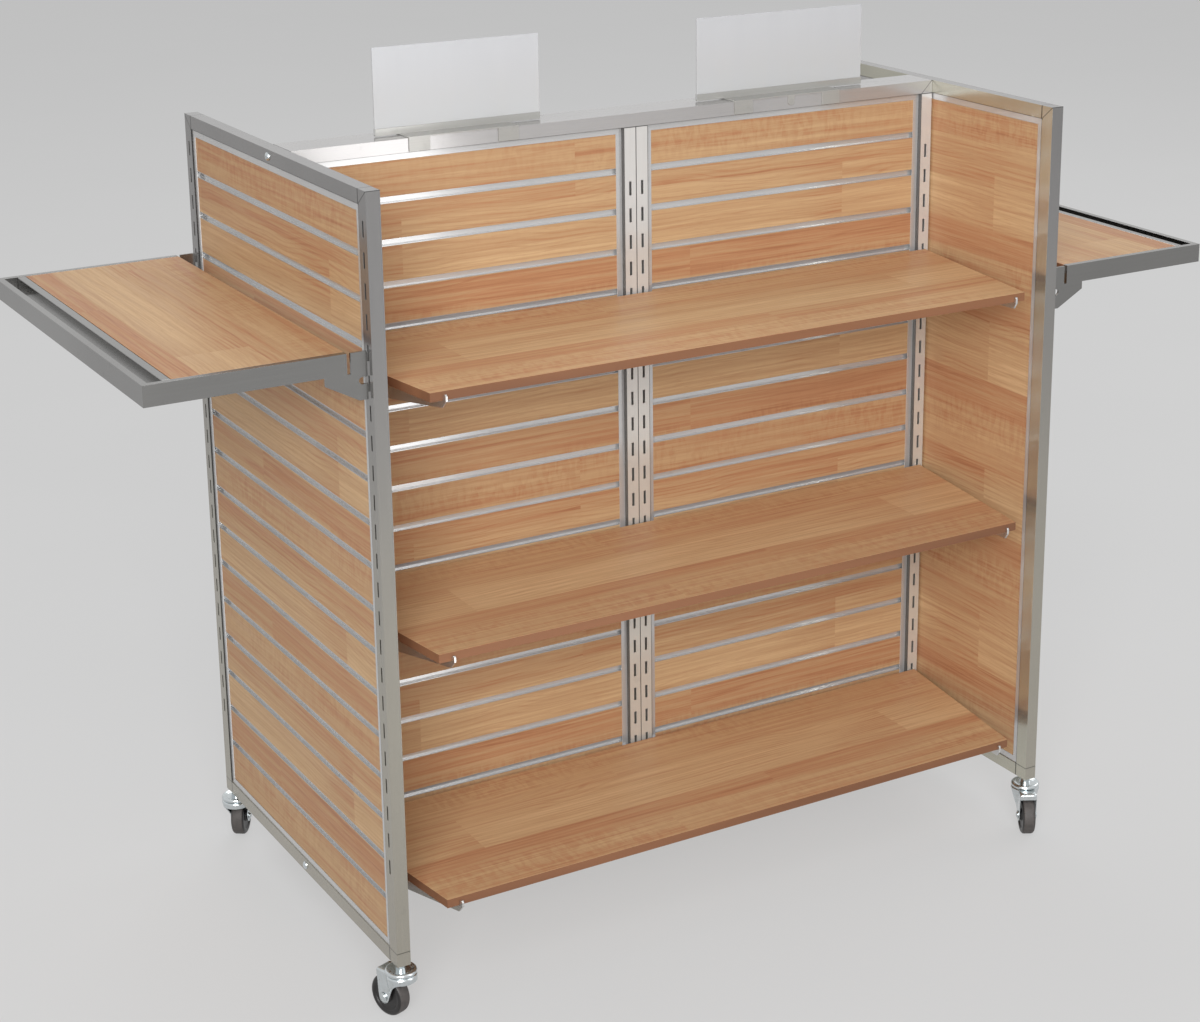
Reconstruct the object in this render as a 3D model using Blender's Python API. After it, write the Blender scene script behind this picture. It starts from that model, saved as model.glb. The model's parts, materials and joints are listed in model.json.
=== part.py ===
"""Double-sided gondola shelving on castors: frames, slat panels, shelves, end trays and signs.

Metres, +Z up, +X along the length. The front faces -Y, and the floor under the castors is Z = 0.
"""
import math

import bmesh
import bpy
from mathutils import Matrix, Vector

# Running and seating gaps between neighbouring pieces
FIT_GAP = 0.0003
WELD_LAP = 0.0006

# Castors
WHEEL_RADIUS = 0.0375
WHEEL_WIDTH = 0.025
WHEEL_SIDE_GAP = 0.002
WHEEL_TOP_GAP = 0.004
TYRE_SHOULDER = 0.004
AXLE_RADIUS = 0.004
AXLE_HEAD_RADIUS = 0.0075
AXLE_HEAD_HEIGHT = 0.004
FORK_SHEET = 0.0025
FORK_FOOT_RADIUS = 0.012
FORK_BACK = 0.046
CROWN_RADIUS = 0.026
CROWN_HEIGHT = 0.006
RACE_RADIUS = 0.028
RACE_HEIGHT = 0.008
RACE_ROLL = 0.002
COLLAR_RADIUS = 0.009
COLLAR_HEIGHT = 0.010
STEM_RADIUS = 0.0055
STEM_LENGTH = 0.036
RIVET_RADIUS = 0.009
RIVET_HEIGHT = 0.003
TRAIL = 0.028
CASTOR_ANGLES = {"front_left": 109.0, "front_right": 241.0, "rear_left": 55.0, "rear_right": 61.0}

# Frames
FRAME_LENGTH = 1.386
FRAME_DEPTH = 0.800
FRAME_HEIGHT = 1.346
TUBE_WIDTH = 0.025
UPRIGHT_DEPTH = 0.030
RAIL_HEIGHT = 0.025
TUBE_WALL = 0.0015
CENTRE_DEPTH = 0.075
POST_WIDTH = 0.025
POST_SEAM_WIDTH = 0.0008
POST_SEAM_DEPTH = 0.004

# Slots that the brackets hook into
SLOT_HEIGHT = 0.026
SLOT_WIDTH = 0.005
SLOT_PITCH = 0.050
END_SLOT_DROP = 0.062
END_SLOT_FOOT = 0.150
POST_SLOT_DROP = 0.138
POST_SLOT_FOOT = 0.050

# Slat panels, their metal edging and the inserts in their grooves
PANEL_THICKNESS = 0.018
EDGING_SHEET = 0.0012
EDGING_COVER = 0.012
BAY_PANEL_RECESS = 0.009
GROOVE_DROP = 0.106
GROOVE_PITCH = 0.075
GROOVE_FOOT = 0.060
INSERT_HEIGHT = 0.012
INSERT_DEPTH = 0.007
INSERT_SHEET = 0.001

# Bolts that hold the end frames to the centre frame
BOLT_RADIUS = 0.004
BOLT_HEAD_RADIUS = 0.0075
BOLT_HEAD_HEIGHT = 0.004
BOLT_REACH = 0.010

# Shelves and their brackets
SHELF_THICKNESS = 0.016
SHELF_OVERHANG = 0.018
SHELF_BACK_GAP = 0.010
SHELF_END_GAP = 0.014
SHELF_TAPER = 0.050
SHELF_FIRST_SLOT = 4
SHELF_SLOT_STEP = 9
SHELF_ABOVE_SLOT = 0.004
BRACKET_SHEET = 0.004
BRACKET_BEND = 0.014
BRACKET_TOE_IN = math.radians(11.5)
BRACKET_TIP_HEIGHT = 0.012
BRACKET_TIP_SLANT = 0.010
BRACKET_FOOT = 0.016
NUB_LENGTH = 0.008
NUB_HEIGHT = 0.011
NUB_ROUND = 0.0025
HOOK_NECK = 0.014
HOOK_REACH = 0.004
HOOK_DROP = 0.006

# End trays
TRAY_SLOTS = {"left": 4, "right": 5}
TRAY_ABOVE_SLOT = 0.005
TRAY_LENGTH = 0.369
TRAY_ARM_START = 0.037
TRAY_BAR_HEIGHT = 0.035
TRAY_ARM_WIDTH = 0.012
TRAY_OUTER_BAR = 0.012
TRAY_GAP = 0.023
TRAY_INNER_BAR = 0.015
TRAY_BOARD = 0.016
TRAY_LIP_WIDTH = 0.010
TRAY_LIP_SHEET = 0.003
TRAY_PLATE_SHEET = 0.004
TRAY_PLATE_REACH = 0.075
TRAY_PLATE_STANDOFF = 0.003
TRAY_PLATE_FOOT = 0.025
TRAY_PLATE_TOE = 0.015
TRAY_PLATE_TIP = 0.014
TRAY_PLATE_SLIT = 0.006
TRAY_NOTCH_DEPTH = 0.015
TRAY_NOTCH_ABOVE = 0.013
TRAY_NOTCH_CHAMFER = 0.004

# Signs on the top rail
SIGN_LENGTHS = {"left": 0.320, "right": 0.370}
SIGN_OUTSET = 0.003
SIGN_HEIGHT = 0.150
SIGN_SHEET = 0.003
CHANNEL_SHEET = 0.0015
CHANNEL_HEIGHT = 0.012
SADDLE_LENGTHS = {"left": 0.212, "right": 0.236}
SADDLE_SHIFT = -0.008
SADDLE_SHEET = 0.002
LUG_WIDTH = 0.040
LUG_DROP = 0.024
TONGUE_WIDTH = 0.014
TONGUE_DROP = 0.018

# Facets of round pieces
WHEEL_SIDES = 24
TURNED_SIDES = 12
ARC_STEPS = 8
DOME_STEPS = 3

# Heights of the castor's pieces, from the floor up
RIVET_BOTTOM = 2 * WHEEL_RADIUS + WHEEL_TOP_GAP
CROWN_BOTTOM = RIVET_BOTTOM + RIVET_HEIGHT + FIT_GAP
CROWN_TOP = CROWN_BOTTOM + CROWN_HEIGHT
RACE_BOTTOM = CROWN_TOP + FIT_GAP
RACE_TOP = RACE_BOTTOM + RACE_HEIGHT
COLLAR_TOP = RACE_TOP + COLLAR_HEIGHT

# Outlines of the frames
FRAME_BOTTOM = COLLAR_TOP + FIT_GAP
FRAME_TOP = FRAME_BOTTOM + FRAME_HEIGHT
HALF_LENGTH = FRAME_LENGTH / 2
HALF_DEPTH = FRAME_DEPTH / 2
OPENING_BOTTOM = FRAME_BOTTOM + RAIL_HEIGHT
OPENING_HEIGHT = FRAME_HEIGHT - 2 * RAIL_HEIGHT
INNER_HALF_LENGTH = HALF_LENGTH - TUBE_WIDTH
CENTRE_HALF_LENGTH = INNER_HALF_LENGTH - FIT_GAP
CENTRE_HALF_DEPTH = CENTRE_DEPTH / 2
POST_X = CENTRE_HALF_LENGTH - POST_WIDTH / 2
UPRIGHT_X = HALF_LENGTH - TUBE_WIDTH / 2
UPRIGHT_Y = HALF_DEPTH - UPRIGHT_DEPTH / 2
BAY_WIDTH = CENTRE_HALF_LENGTH - 2 * POST_WIDTH
BAY_X = POST_WIDTH + BAY_WIDTH / 2
BOLT_HEIGHTS = {"bottom": FRAME_BOTTOM + RAIL_HEIGHT / 2, "top": FRAME_TOP - RAIL_HEIGHT / 2}
EDGING_THICKNESS = PANEL_THICKNESS + 2 * (EDGING_SHEET + FIT_GAP)
SHELF_HALF_WIDTH = INNER_HALF_LENGTH - SHELF_END_GAP
SHELF_BACK = CENTRE_HALF_DEPTH + SHELF_BACK_GAP
SHELF_FRONT = HALF_DEPTH + SHELF_OVERHANG

SIDES = {"left": -1, "right": 1}
FACES = {"front": -1, "rear": 1}


def slot_heights(drop, foot):
    """Slot centres down a column, from the first one under the frame's top."""
    count = int((FRAME_HEIGHT - drop - foot) / SLOT_PITCH) + 1
    return [FRAME_TOP - drop - SLOT_PITCH * index for index in range(count)]


END_SLOTS = slot_heights(END_SLOT_DROP, END_SLOT_FOOT)
POST_SLOTS = slot_heights(POST_SLOT_DROP, POST_SLOT_FOOT)
SHELF_SLOTS = POST_SLOTS[SHELF_FIRST_SLOT:-1:SHELF_SLOT_STEP]


def make_material(name, colour, roughness, metallic):
    """A Principled material in one colour."""
    made = bpy.data.materials.new(name)
    made.use_nodes = True
    shader = made.node_tree.nodes["Principled BSDF"]
    shader.inputs["Base Color"].default_value = (*colour, 1.0)
    shader.inputs["Roughness"].default_value = roughness
    shader.inputs["Metallic"].default_value = metallic
    return made


def add_prism(bm, outline, start, end, place):
    """Extrude a flat outline from start to end; place(a, b, depth) gives each corner's position."""
    near = [bm.verts.new(place(a, b, start)) for a, b in outline]
    far = [bm.verts.new(place(a, b, end)) for a, b in outline]
    bm.faces.new(near)
    bm.faces.new(list(reversed(far)))
    for index in range(len(outline)):
        following = (index + 1) % len(outline)
        bm.faces.new((near[index], far[index], far[following], near[following]))


def along_x(a, b, depth):
    """Outline in Y and Z, extruded along X."""
    return (depth, a, b)


def along_y(a, b, depth):
    """Outline in X and Z, extruded along Y."""
    return (a, depth, b)


def along_z(a, b, depth):
    """Outline in X and Y, extruded along Z."""
    return (a, b, depth)


def add_box(bm, x_range, y_range, z_range):
    """A box between two limits on each axis."""
    (x0, x1), (y0, y1) = sorted(x_range), sorted(y_range)
    add_prism(bm, [(x0, y0), (x1, y0), (x1, y1), (x0, y1)], *sorted(z_range), along_z)


def add_swept_ring(bm, width, height, section, place):
    """Sweep a closed section round a rectangle; a point is (inset from sides, inset from ends, depth)."""
    loops = []
    for side, level in ((-1, 0), (1, 0), (1, 1), (-1, 1)):
        loop = []
        for side_inset, end_inset, depth in section:
            across = side * (width / 2 - side_inset)
            up = height - end_inset if level else end_inset
            loop.append(bm.verts.new(place(across, up, depth)))
        loops.append(loop)
    for index, loop in enumerate(loops):
        following = loops[(index + 1) % len(loops)]
        for point in range(len(section)):
            beyond = (point + 1) % len(section)
            bm.faces.new((loop[point], following[point], following[beyond], loop[beyond]))


def tube_section(upright, rail, near, far, shrink=0.0):
    """Section of a tube ring between two depths, or of its hollow when shrunk by the wall."""
    near += math.copysign(shrink, far - near)
    far -= math.copysign(shrink, far - near)
    outer = (shrink, shrink)
    inner = (upright - shrink, rail - shrink)
    return [(*outer, near), (*inner, near), (*inner, far), (*outer, far)]


def add_turned(bm, profile, sides, place=along_z, phase=0.0):
    """Turn a profile of (radius, height) points; it ends on the axis, or is a closed loop round a bore."""
    turn = 2 * math.pi / sides
    rings = []
    for radius, height in profile:
        count = sides if radius else 1
        angles = [phase + turn * index for index in range(count)]
        points = [place(radius * math.cos(angle), radius * math.sin(angle), height) for angle in angles]
        rings.append([bm.verts.new(point) for point in points])
    pairs = list(zip(rings, rings[1:]))
    if profile[0][0]:
        pairs.append((rings[-1], rings[0]))
    for upper, lower in pairs:
        for index in range(sides):
            corners = [upper[index % len(upper)], upper[(index + 1) % len(upper)]]
            corners += [lower[(index + 1) % len(lower)], lower[index % len(lower)]]
            bm.faces.new(list(dict.fromkeys(corners)))


def dome(radius, base, height):
    """Profile points of a domed head, from its pole down to its rim."""
    angles = [math.pi / 2 * step / DOME_STEPS for step in range(DOME_STEPS + 1)]
    return [(radius * math.sin(a), base + height * math.cos(a)) for a in angles]


def arc(centre, radius, start, end):
    """Points on a circular arc between two angles in degrees."""
    angles = [math.radians(start + (end - start) * step / ARC_STEPS) for step in range(ARC_STEPS + 1)]
    return [(centre[0] + radius * math.cos(a), centre[1] + radius * math.sin(a)) for a in angles]


def new_object(name, bm, material=None, parent=None, smooth=False):
    """Turn the built mesh into a named object."""
    bmesh.ops.recalc_face_normals(bm, faces=bm.faces[:])
    mesh = bpy.data.meshes.new(name)
    bm.to_mesh(mesh)
    bm.free()
    if material:
        mesh.materials.append(material)
    if smooth:
        mesh.shade_smooth()
        mesh.set_sharp_from_angle(angle=math.radians(35))
    made = bpy.data.objects.new(name, mesh)
    bpy.context.collection.objects.link(made)
    made.parent = parent
    return made


def combine(target, operation, bm):
    """Join a hidden shape to an object, or cut it away."""
    tool = new_object(f"{target.name}_{operation.lower()}_{len(target.modifiers)}", bm, parent=target)
    tool.hide_render = True
    tool.display_type = "WIRE"
    modifier = target.modifiers.new(operation.title(), "BOOLEAN")
    modifier.operation = operation
    modifier.object = tool


def new_empty(name, location, turn):
    """A carrier that places and turns a group of pieces."""
    made = bpy.data.objects.new(name, None)
    bpy.context.collection.objects.link(made)
    made.location = location
    made.rotation_euler = (0.0, 0.0, turn)
    return made


def build_end_frame(name, side, material):
    """A welded ring of square tube with a column of slots down the outer face of each upright."""
    outer = side * HALF_LENGTH
    inner = side * INNER_HALF_LENGTH
    wall = side * TUBE_WALL

    def place(across, up, depth):
        return (depth, across, FRAME_BOTTOM + up)

    bm = bmesh.new()
    section = tube_section(UPRIGHT_DEPTH, RAIL_HEIGHT, outer, inner)
    add_swept_ring(bm, FRAME_DEPTH, FRAME_HEIGHT, section, place)
    frame = new_object(name, bm, material)

    hollow = bmesh.new()
    section = tube_section(UPRIGHT_DEPTH, RAIL_HEIGHT, outer, inner, TUBE_WALL)
    add_swept_ring(hollow, FRAME_DEPTH, FRAME_HEIGHT, section, place)
    combine(frame, "DIFFERENCE", hollow)

    holes = bmesh.new()
    for face in FACES.values():
        for height in END_SLOTS:
            add_box(
                holes,
                (outer + wall, outer - 2 * wall),
                (face * UPRIGHT_Y - SLOT_WIDTH / 2, face * UPRIGHT_Y + SLOT_WIDTH / 2),
                (height - SLOT_HEIGHT / 2, height + SLOT_HEIGHT / 2),
            )

        def at_stem(a, b, depth, face=face):
            return (side * UPRIGHT_X + a, face * UPRIGHT_Y + b, depth)

        radius = STEM_RADIUS + FIT_GAP
        top = FRAME_BOTTOM + 2 * TUBE_WALL
        bottom = FRAME_BOTTOM - TUBE_WALL
        bore = [(0.0, top), (radius, top), (radius, bottom), (0.0, bottom)]
        add_turned(holes, bore, TURNED_SIDES, at_stem)
    for height in BOLT_HEIGHTS.values():
        add_bolt_hole(holes, height, outer + wall, inner - wall)
    combine(frame, "DIFFERENCE", holes)


def add_bolt_hole(bm, height, start, end):
    """A round hole along X at mid depth."""
    radius = BOLT_RADIUS + FIT_GAP

    def place(a, b, depth):
        return (depth, a, height + b)

    add_turned(bm, [(0.0, start), (radius, start), (radius, end), (0.0, end)], TURNED_SIDES, place)


def build_centre_frame(material):
    """The welded middle frame: a ring of deep tube with two slotted posts side by side at its centre."""
    length = 2 * CENTRE_HALF_LENGTH
    depth = CENTRE_HALF_DEPTH

    def place(across, up, out):
        return (across, out, FRAME_BOTTOM + up)

    bm = bmesh.new()
    add_swept_ring(bm, length, FRAME_HEIGHT, tube_section(POST_WIDTH, RAIL_HEIGHT, -depth, depth), place)
    frame = new_object("centre_frame", bm, material)

    posts = bmesh.new()
    post_top = FRAME_TOP - RAIL_HEIGHT
    welded = (OPENING_BOTTOM - WELD_LAP, post_top + WELD_LAP)
    add_box(posts, (-POST_WIDTH, POST_WIDTH), (-depth, depth), welded)
    combine(frame, "UNION", posts)

    hollow = bmesh.new()
    section = tube_section(POST_WIDTH, RAIL_HEIGHT, -depth, depth, TUBE_WALL)
    add_swept_ring(hollow, length, FRAME_HEIGHT, section, place)
    for side in SIDES.values():
        add_box(
            hollow,
            (side * TUBE_WALL, side * (POST_WIDTH - TUBE_WALL)),
            (TUBE_WALL - depth, depth - TUBE_WALL),
            (OPENING_BOTTOM, post_top),
        )
    combine(frame, "DIFFERENCE", hollow)

    holes = bmesh.new()
    for face in FACES.values():
        outside, inside = face * (depth + TUBE_WALL), face * (depth - 2 * TUBE_WALL)
        for x in (-POST_X, -POST_WIDTH / 2, POST_WIDTH / 2, POST_X):
            for height in POST_SLOTS:
                add_box(
                    holes,
                    (x - SLOT_WIDTH / 2, x + SLOT_WIDTH / 2),
                    (outside, inside),
                    (height - SLOT_HEIGHT / 2, height + SLOT_HEIGHT / 2),
                )
        seam = POST_SEAM_WIDTH / 2
        seam_floor = face * (depth - POST_SEAM_DEPTH)
        add_box(holes, (-seam, seam), (outside, seam_floor), (OPENING_BOTTOM, post_top))
    for side in SIDES.values():
        for height in BOLT_HEIGHTS.values():
            end = side * CENTRE_HALF_LENGTH
            add_bolt_hole(holes, height, end + side * TUBE_WALL, end - side * 2 * TUBE_WALL)
    combine(frame, "DIFFERENCE", holes)


def groove_levels():
    """Groove centres above the opening's bottom edge."""
    first = FRAME_HEIGHT - GROOVE_DROP - RAIL_HEIGHT
    count = int((first - GROOVE_FOOT) / GROOVE_PITCH) + 1
    return [first - GROOVE_PITCH * index for index in range(count)]


def build_slat_panel(prefix, width, foot, outward, wood, metal):
    """A grooved board with its metal edging; foot is the opening's lower middle, outward the slatted side.

    In the piece's own axes X runs across, Y up and Z out of the slatted face, from the panel's mid plane.
    """
    across = Vector((0.0, 0.0, 1.0)).cross(outward)
    turn = Matrix((across, Vector((0.0, 0.0, 1.0)), outward)).transposed().to_4x4()
    placing = Matrix.Translation(foot) @ turn

    rim = 2 * FIT_GAP + EDGING_SHEET
    front = PANEL_THICKNESS / 2
    reach = INSERT_HEIGHT / 2 + FIT_GAP
    floor = front - INSERT_DEPTH - 2 * FIT_GAP
    outline = [(OPENING_HEIGHT - rim, front), (OPENING_HEIGHT - rim, -front), (rim, -front), (rim, front)]
    for level in reversed(groove_levels()):
        low, high = level - reach, level + reach
        outline += [(low, front), (low, floor), (high, floor), (high, front)]
    bm = bmesh.new()
    add_prism(bm, outline, rim - width / 2, width / 2 - rim, along_x)
    panel = new_object(f"{prefix}_panel", bm, wood)
    panel.matrix_world = placing

    face = EDGING_THICKNESS / 2
    lining = face - EDGING_SHEET
    web = FIT_GAP + EDGING_SHEET
    section = [(FIT_GAP, -face), (EDGING_COVER, -face), (EDGING_COVER, -lining), (web, -lining)]
    section += [(inset, -depth) for inset, depth in reversed(section)]
    bm = bmesh.new()
    add_swept_ring(bm, width, OPENING_HEIGHT, [(inset, inset, depth) for inset, depth in section], along_z)
    edging = new_object(f"{prefix}_edging", bm, metal)
    edging.matrix_world = placing

    inserts = bmesh.new()
    half = INSERT_HEIGHT / 2
    mouth = front - FIT_GAP
    back = mouth - INSERT_DEPTH
    reach = width / 2 - web + WELD_LAP
    for level in groove_levels():
        low, high = level - half, level + half
        channel = [
            (low, mouth),
            (low, back),
            (high, back),
            (high, mouth),
            (high - INSERT_SHEET, mouth),
            (high - INSERT_SHEET, back + INSERT_SHEET),
            (low + INSERT_SHEET, back + INSERT_SHEET),
            (low + INSERT_SHEET, mouth),
        ]
        add_prism(inserts, channel, -reach, reach, along_x)
    combine(edging, "UNION", inserts)


def build_bolt(name, side, height, material):
    """A domed bolt through the end frame's rail into the centre frame's end post."""
    outer = HALF_LENGTH + FIT_GAP
    tip = CENTRE_HALF_LENGTH - BOLT_REACH

    def place(a, b, depth):
        return (side * depth, a, height + b)

    head = dome(BOLT_HEAD_RADIUS, outer, BOLT_HEAD_HEIGHT)
    bm = bmesh.new()
    add_turned(bm, head + [(BOLT_RADIUS, outer), (BOLT_RADIUS, tip), (0.0, tip)], TURNED_SIDES, place)
    new_object(name, bm, material, smooth=True)


def hook(slot, wall_face):
    """Outline of a hook through a slot in a tube's wall, from its neck's top to the neck's underside."""
    rest = slot - SLOT_HEIGHT / 2 + FIT_GAP
    behind = wall_face - TUBE_WALL - FIT_GAP
    end = behind - HOOK_REACH
    return [(end, rest + HOOK_NECK), (end, rest - HOOK_DROP), (behind, rest - HOOK_DROP), (behind, rest)]


def build_shelf(face_name, level, slot, carrier, wood, metal):
    """A board with tapered ends on two cranked brackets, made for the front and turned by its carrier."""
    top = slot + SHELF_ABOVE_SLOT
    under = top - SHELF_THICKNESS
    back = SHELF_HALF_WIDTH
    front = SHELF_HALF_WIDTH - SHELF_TAPER
    outline = [(-front, -SHELF_FRONT), (front, -SHELF_FRONT), (back, -SHELF_BACK), (-back, -SHELF_BACK)]
    bm = bmesh.new()
    add_prism(bm, outline, under, top, along_z)
    new_object(f"{face_name}_shelf_{level}", bm, wood, carrier)
    for side_name, side in SIDES.items():
        build_bracket(f"{face_name}_shelf_{level}_{side_name}_bracket", side, slot, under, carrier, metal)


def build_bracket(name, side, slot, under, carrier, material):
    """A tapered plate that hooks into two post slots and toes in to an upturned nub at the board's edge.

    Stations run out from the post's face; those past the bend lean towards the shelf's middle.
    """
    half = BRACKET_SHEET / 2
    top = under - FIT_GAP
    lower_slot = slot - SLOT_PITCH
    foot = lower_slot - BRACKET_FOOT
    board_edge = SHELF_FRONT - CENTRE_HALF_DEPTH
    nub = BRACKET_BEND + (board_edge - BRACKET_BEND + FIT_GAP) / math.cos(BRACKET_TOE_IN)
    nub += 2 * half * math.tan(BRACKET_TOE_IN)
    tip = nub + NUB_LENGTH
    heel = SHELF_BACK_GAP - 2 * FIT_GAP
    upper = hook(slot, 0.0)
    lower = hook(lower_slot, 0.0)
    neck_top, rest = 0, -1
    back = [(heel, upper[neck_top][1]), *upper, (FIT_GAP, upper[rest][1]), (FIT_GAP, lower[neck_top][1])]
    back += [*lower, (FIT_GAP, lower[rest][1]), (FIT_GAP, foot), (BRACKET_BEND, foot)]
    back += [(BRACKET_BEND, top), (heel, top)]
    crest = under + NUB_HEIGHT
    arm = [(BRACKET_BEND, top), (BRACKET_BEND, foot), (tip - BRACKET_TIP_SLANT, top - BRACKET_TIP_HEIGHT)]
    arm += [(tip, top), (tip, crest - NUB_ROUND), (tip - NUB_ROUND, crest), (nub + NUB_ROUND, crest)]
    arm += [(nub, crest - NUB_ROUND), (nub, top)]

    def straight(station, height, off):
        mitre = off * math.tan(BRACKET_TOE_IN / 2) if station == BRACKET_BEND else 0.0
        return (side * (POST_X + off), -(CENTRE_HALF_DEPTH + station + mitre), height)

    def leaning(station, height, off):
        run = station - BRACKET_BEND
        if not run:
            return straight(station, height, off)
        lean, cosine = math.sin(BRACKET_TOE_IN), math.cos(BRACKET_TOE_IN)
        out = CENTRE_HALF_DEPTH + BRACKET_BEND + run * cosine + off * lean
        return (side * (POST_X - run * lean + off * cosine), -out, height)

    bm = bmesh.new()
    add_prism(bm, back, -half, half, straight)
    add_prism(bm, arm, -half, half, leaning)
    bmesh.ops.remove_doubles(bm, verts=bm.verts[:], dist=FIT_GAP / 10)
    bend = -(CENTRE_HALF_DEPTH + BRACKET_BEND)
    seam = [face for face in bm.faces if all(abs(vert.co.y - bend) < FIT_GAP for vert in face.verts)]
    bmesh.ops.delete(bm, geom=seam, context="FACES_ONLY")
    new_object(name, bm, material, carrier)


def build_tray(side_name, side, metal, wood):
    """A tray frame on two hook plates, with an inset board and an inner bar short of its outer end."""
    carrier = new_empty(f"{side_name}_tray_carrier", (0.0, 0.0, 0.0), 0.0 if side > 0 else math.pi)
    slot = END_SLOTS[TRAY_SLOTS[side_name]]
    lower_slot = slot - SLOT_PITCH
    top = slot + TRAY_ABOVE_SLOT
    bottom = top - TRAY_BAR_HEIGHT
    outside = UPRIGHT_Y + TRAY_PLATE_SHEET / 2
    inside = outside - TRAY_ARM_WIDTH
    end = HALF_LENGTH + TRAY_LENGTH
    start = HALF_LENGTH + TRAY_ARM_START
    gap_end = end - TRAY_OUTER_BAR
    gap_start = gap_end - TRAY_GAP
    board_end = gap_start - TRAY_INNER_BAR

    bm = bmesh.new()
    lap = inside + WELD_LAP
    add_box(bm, (gap_end, end), (-lap, lap), (bottom, top))
    frame = new_object(f"{side_name}_tray_frame", bm, metal, carrier)
    arms = bmesh.new()
    for face in FACES.values():
        add_box(arms, (start, end), (face * inside, face * outside), (bottom, top))
    combine(frame, "UNION", arms)

    lip_top = top - TRAY_BOARD - FIT_GAP
    wall_face = HALF_LENGTH
    near = wall_face + TRAY_PLATE_STANDOFF
    far = wall_face + TRAY_PLATE_REACH
    upper = hook(slot, wall_face)
    lower = hook(lower_slot, wall_face)
    neck_top, rest = 0, -1
    foot = lower_slot - TRAY_PLATE_FOOT
    notch_top = lower_slot + TRAY_NOTCH_ABOVE
    notch_end = near + TRAY_NOTCH_DEPTH
    notch_bottom = lower[neck_top][1]
    slit = start - TRAY_PLATE_SLIT
    plate = [(slit, top), (near, top), (near, upper[neck_top][1]), *upper, (near, upper[rest][1])]
    plate += [(near, notch_top), (notch_end - TRAY_NOTCH_CHAMFER, notch_top)]
    plate += [(notch_end, notch_top - TRAY_NOTCH_CHAMFER), (notch_end, notch_bottom + TRAY_NOTCH_CHAMFER)]
    plate += [(notch_end - TRAY_NOTCH_CHAMFER, notch_bottom), *lower, (near, lower[rest][1])]
    plate += [(near, foot), (near + TRAY_PLATE_TOE, foot), (far, bottom - TRAY_PLATE_TIP)]
    plate += [(far, bottom + WELD_LAP), (slit, bottom + WELD_LAP)]
    fittings = bmesh.new()
    for face in FACES.values():
        edges = (face * (UPRIGHT_Y - TRAY_PLATE_SHEET / 2), face * (UPRIGHT_Y + TRAY_PLATE_SHEET / 2))
        add_prism(fittings, plate, *edges, along_y)
        lip = (face * (inside + WELD_LAP), face * (inside - TRAY_LIP_WIDTH))
        add_box(fittings, (start, board_end), lip, (lip_top - TRAY_LIP_SHEET, lip_top))
    combine(frame, "UNION", fittings)

    bm = bmesh.new()
    side_edge = inside - FIT_GAP
    add_box(bm, (start, board_end - FIT_GAP), (-side_edge, side_edge), (lip_top + FIT_GAP, top))
    new_object(f"{side_name}_tray_board", bm, wood, carrier)

    bm = bmesh.new()
    add_box(bm, (board_end, gap_start), (-side_edge, side_edge), (bottom, top))
    new_object(f"{side_name}_tray_inner_bar", bm, metal, carrier)


def build_sign(side_name, side, metal, white):
    """A plate standing in a channel on a saddle that straddles and slides along the top rail."""
    length = SIGN_LENGTHS[side_name]
    x = side * (BAY_X + SIGN_OUTSET)
    half_saddle = SADDLE_LENGTHS[side_name] / 2
    saddle_bottom = FRAME_TOP + FIT_GAP
    saddle_top = saddle_bottom + SADDLE_SHEET
    lining = CENTRE_HALF_DEPTH + FIT_GAP
    outside = lining + SADDLE_SHEET
    bm = bmesh.new()
    ends = (SADDLE_SHIFT - half_saddle, SADDLE_SHIFT + half_saddle)
    add_box(bm, ends, (-outside, outside), (saddle_bottom, saddle_top))
    holder = new_object(f"{side_name}_sign_holder", bm, metal)
    holder.location.x = x

    lugs = bmesh.new()
    lug_bottom = saddle_bottom - LUG_DROP
    for face in FACES.values():
        for edges in ((ends[0], ends[0] + LUG_WIDTH), (ends[1] - LUG_WIDTH, ends[1])):
            add_box(lugs, edges, (face * lining, face * outside), (lug_bottom, saddle_bottom + WELD_LAP))
    if side > 0:
        half = TONGUE_WIDTH / 2
        round_end = saddle_bottom - TONGUE_DROP + half
        tongue = [(half, saddle_bottom + WELD_LAP), (-half, saddle_bottom + WELD_LAP)]
        tongue += arc((0.0, round_end), half, 180, 360)
        add_prism(lugs, tongue, -outside, -lining, along_y)
    wide = SIGN_SHEET / 2 + FIT_GAP
    high = saddle_top + CHANNEL_HEIGHT
    floor = saddle_top + CHANNEL_SHEET
    low = saddle_top - WELD_LAP
    wall = wide + CHANNEL_SHEET
    channel = [(-wall, low), (wall, low), (wall, high), (wide, high)]
    channel += [(wide, floor), (-wide, floor), (-wide, high), (-wall, high)]
    add_prism(lugs, channel, -length / 2, length / 2, along_x)
    combine(holder, "UNION", lugs)

    bm = bmesh.new()
    plate_bottom = floor + FIT_GAP
    thickness = (-SIGN_SHEET / 2, SIGN_SHEET / 2)
    add_box(bm, (-length / 2, length / 2), thickness, (plate_bottom, plate_bottom + SIGN_HEIGHT))
    plate = new_object(f"{side_name}_sign_plate", bm, white)
    plate.location.x = x


def build_castor(name, x, y, zinc, rubber):
    """A swivel castor; its carrier stands on the stem's axis with +X along the trailing fork."""
    carrier = new_empty(f"{name}_castor", (x, y, 0.0), math.radians(CASTOR_ANGLES[name]))
    build_stem(f"{name}_castor_stem", carrier, zinc)
    build_fork(f"{name}_castor_fork", carrier, zinc)
    build_wheel(f"{name}_castor_wheel", carrier, rubber)


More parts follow.
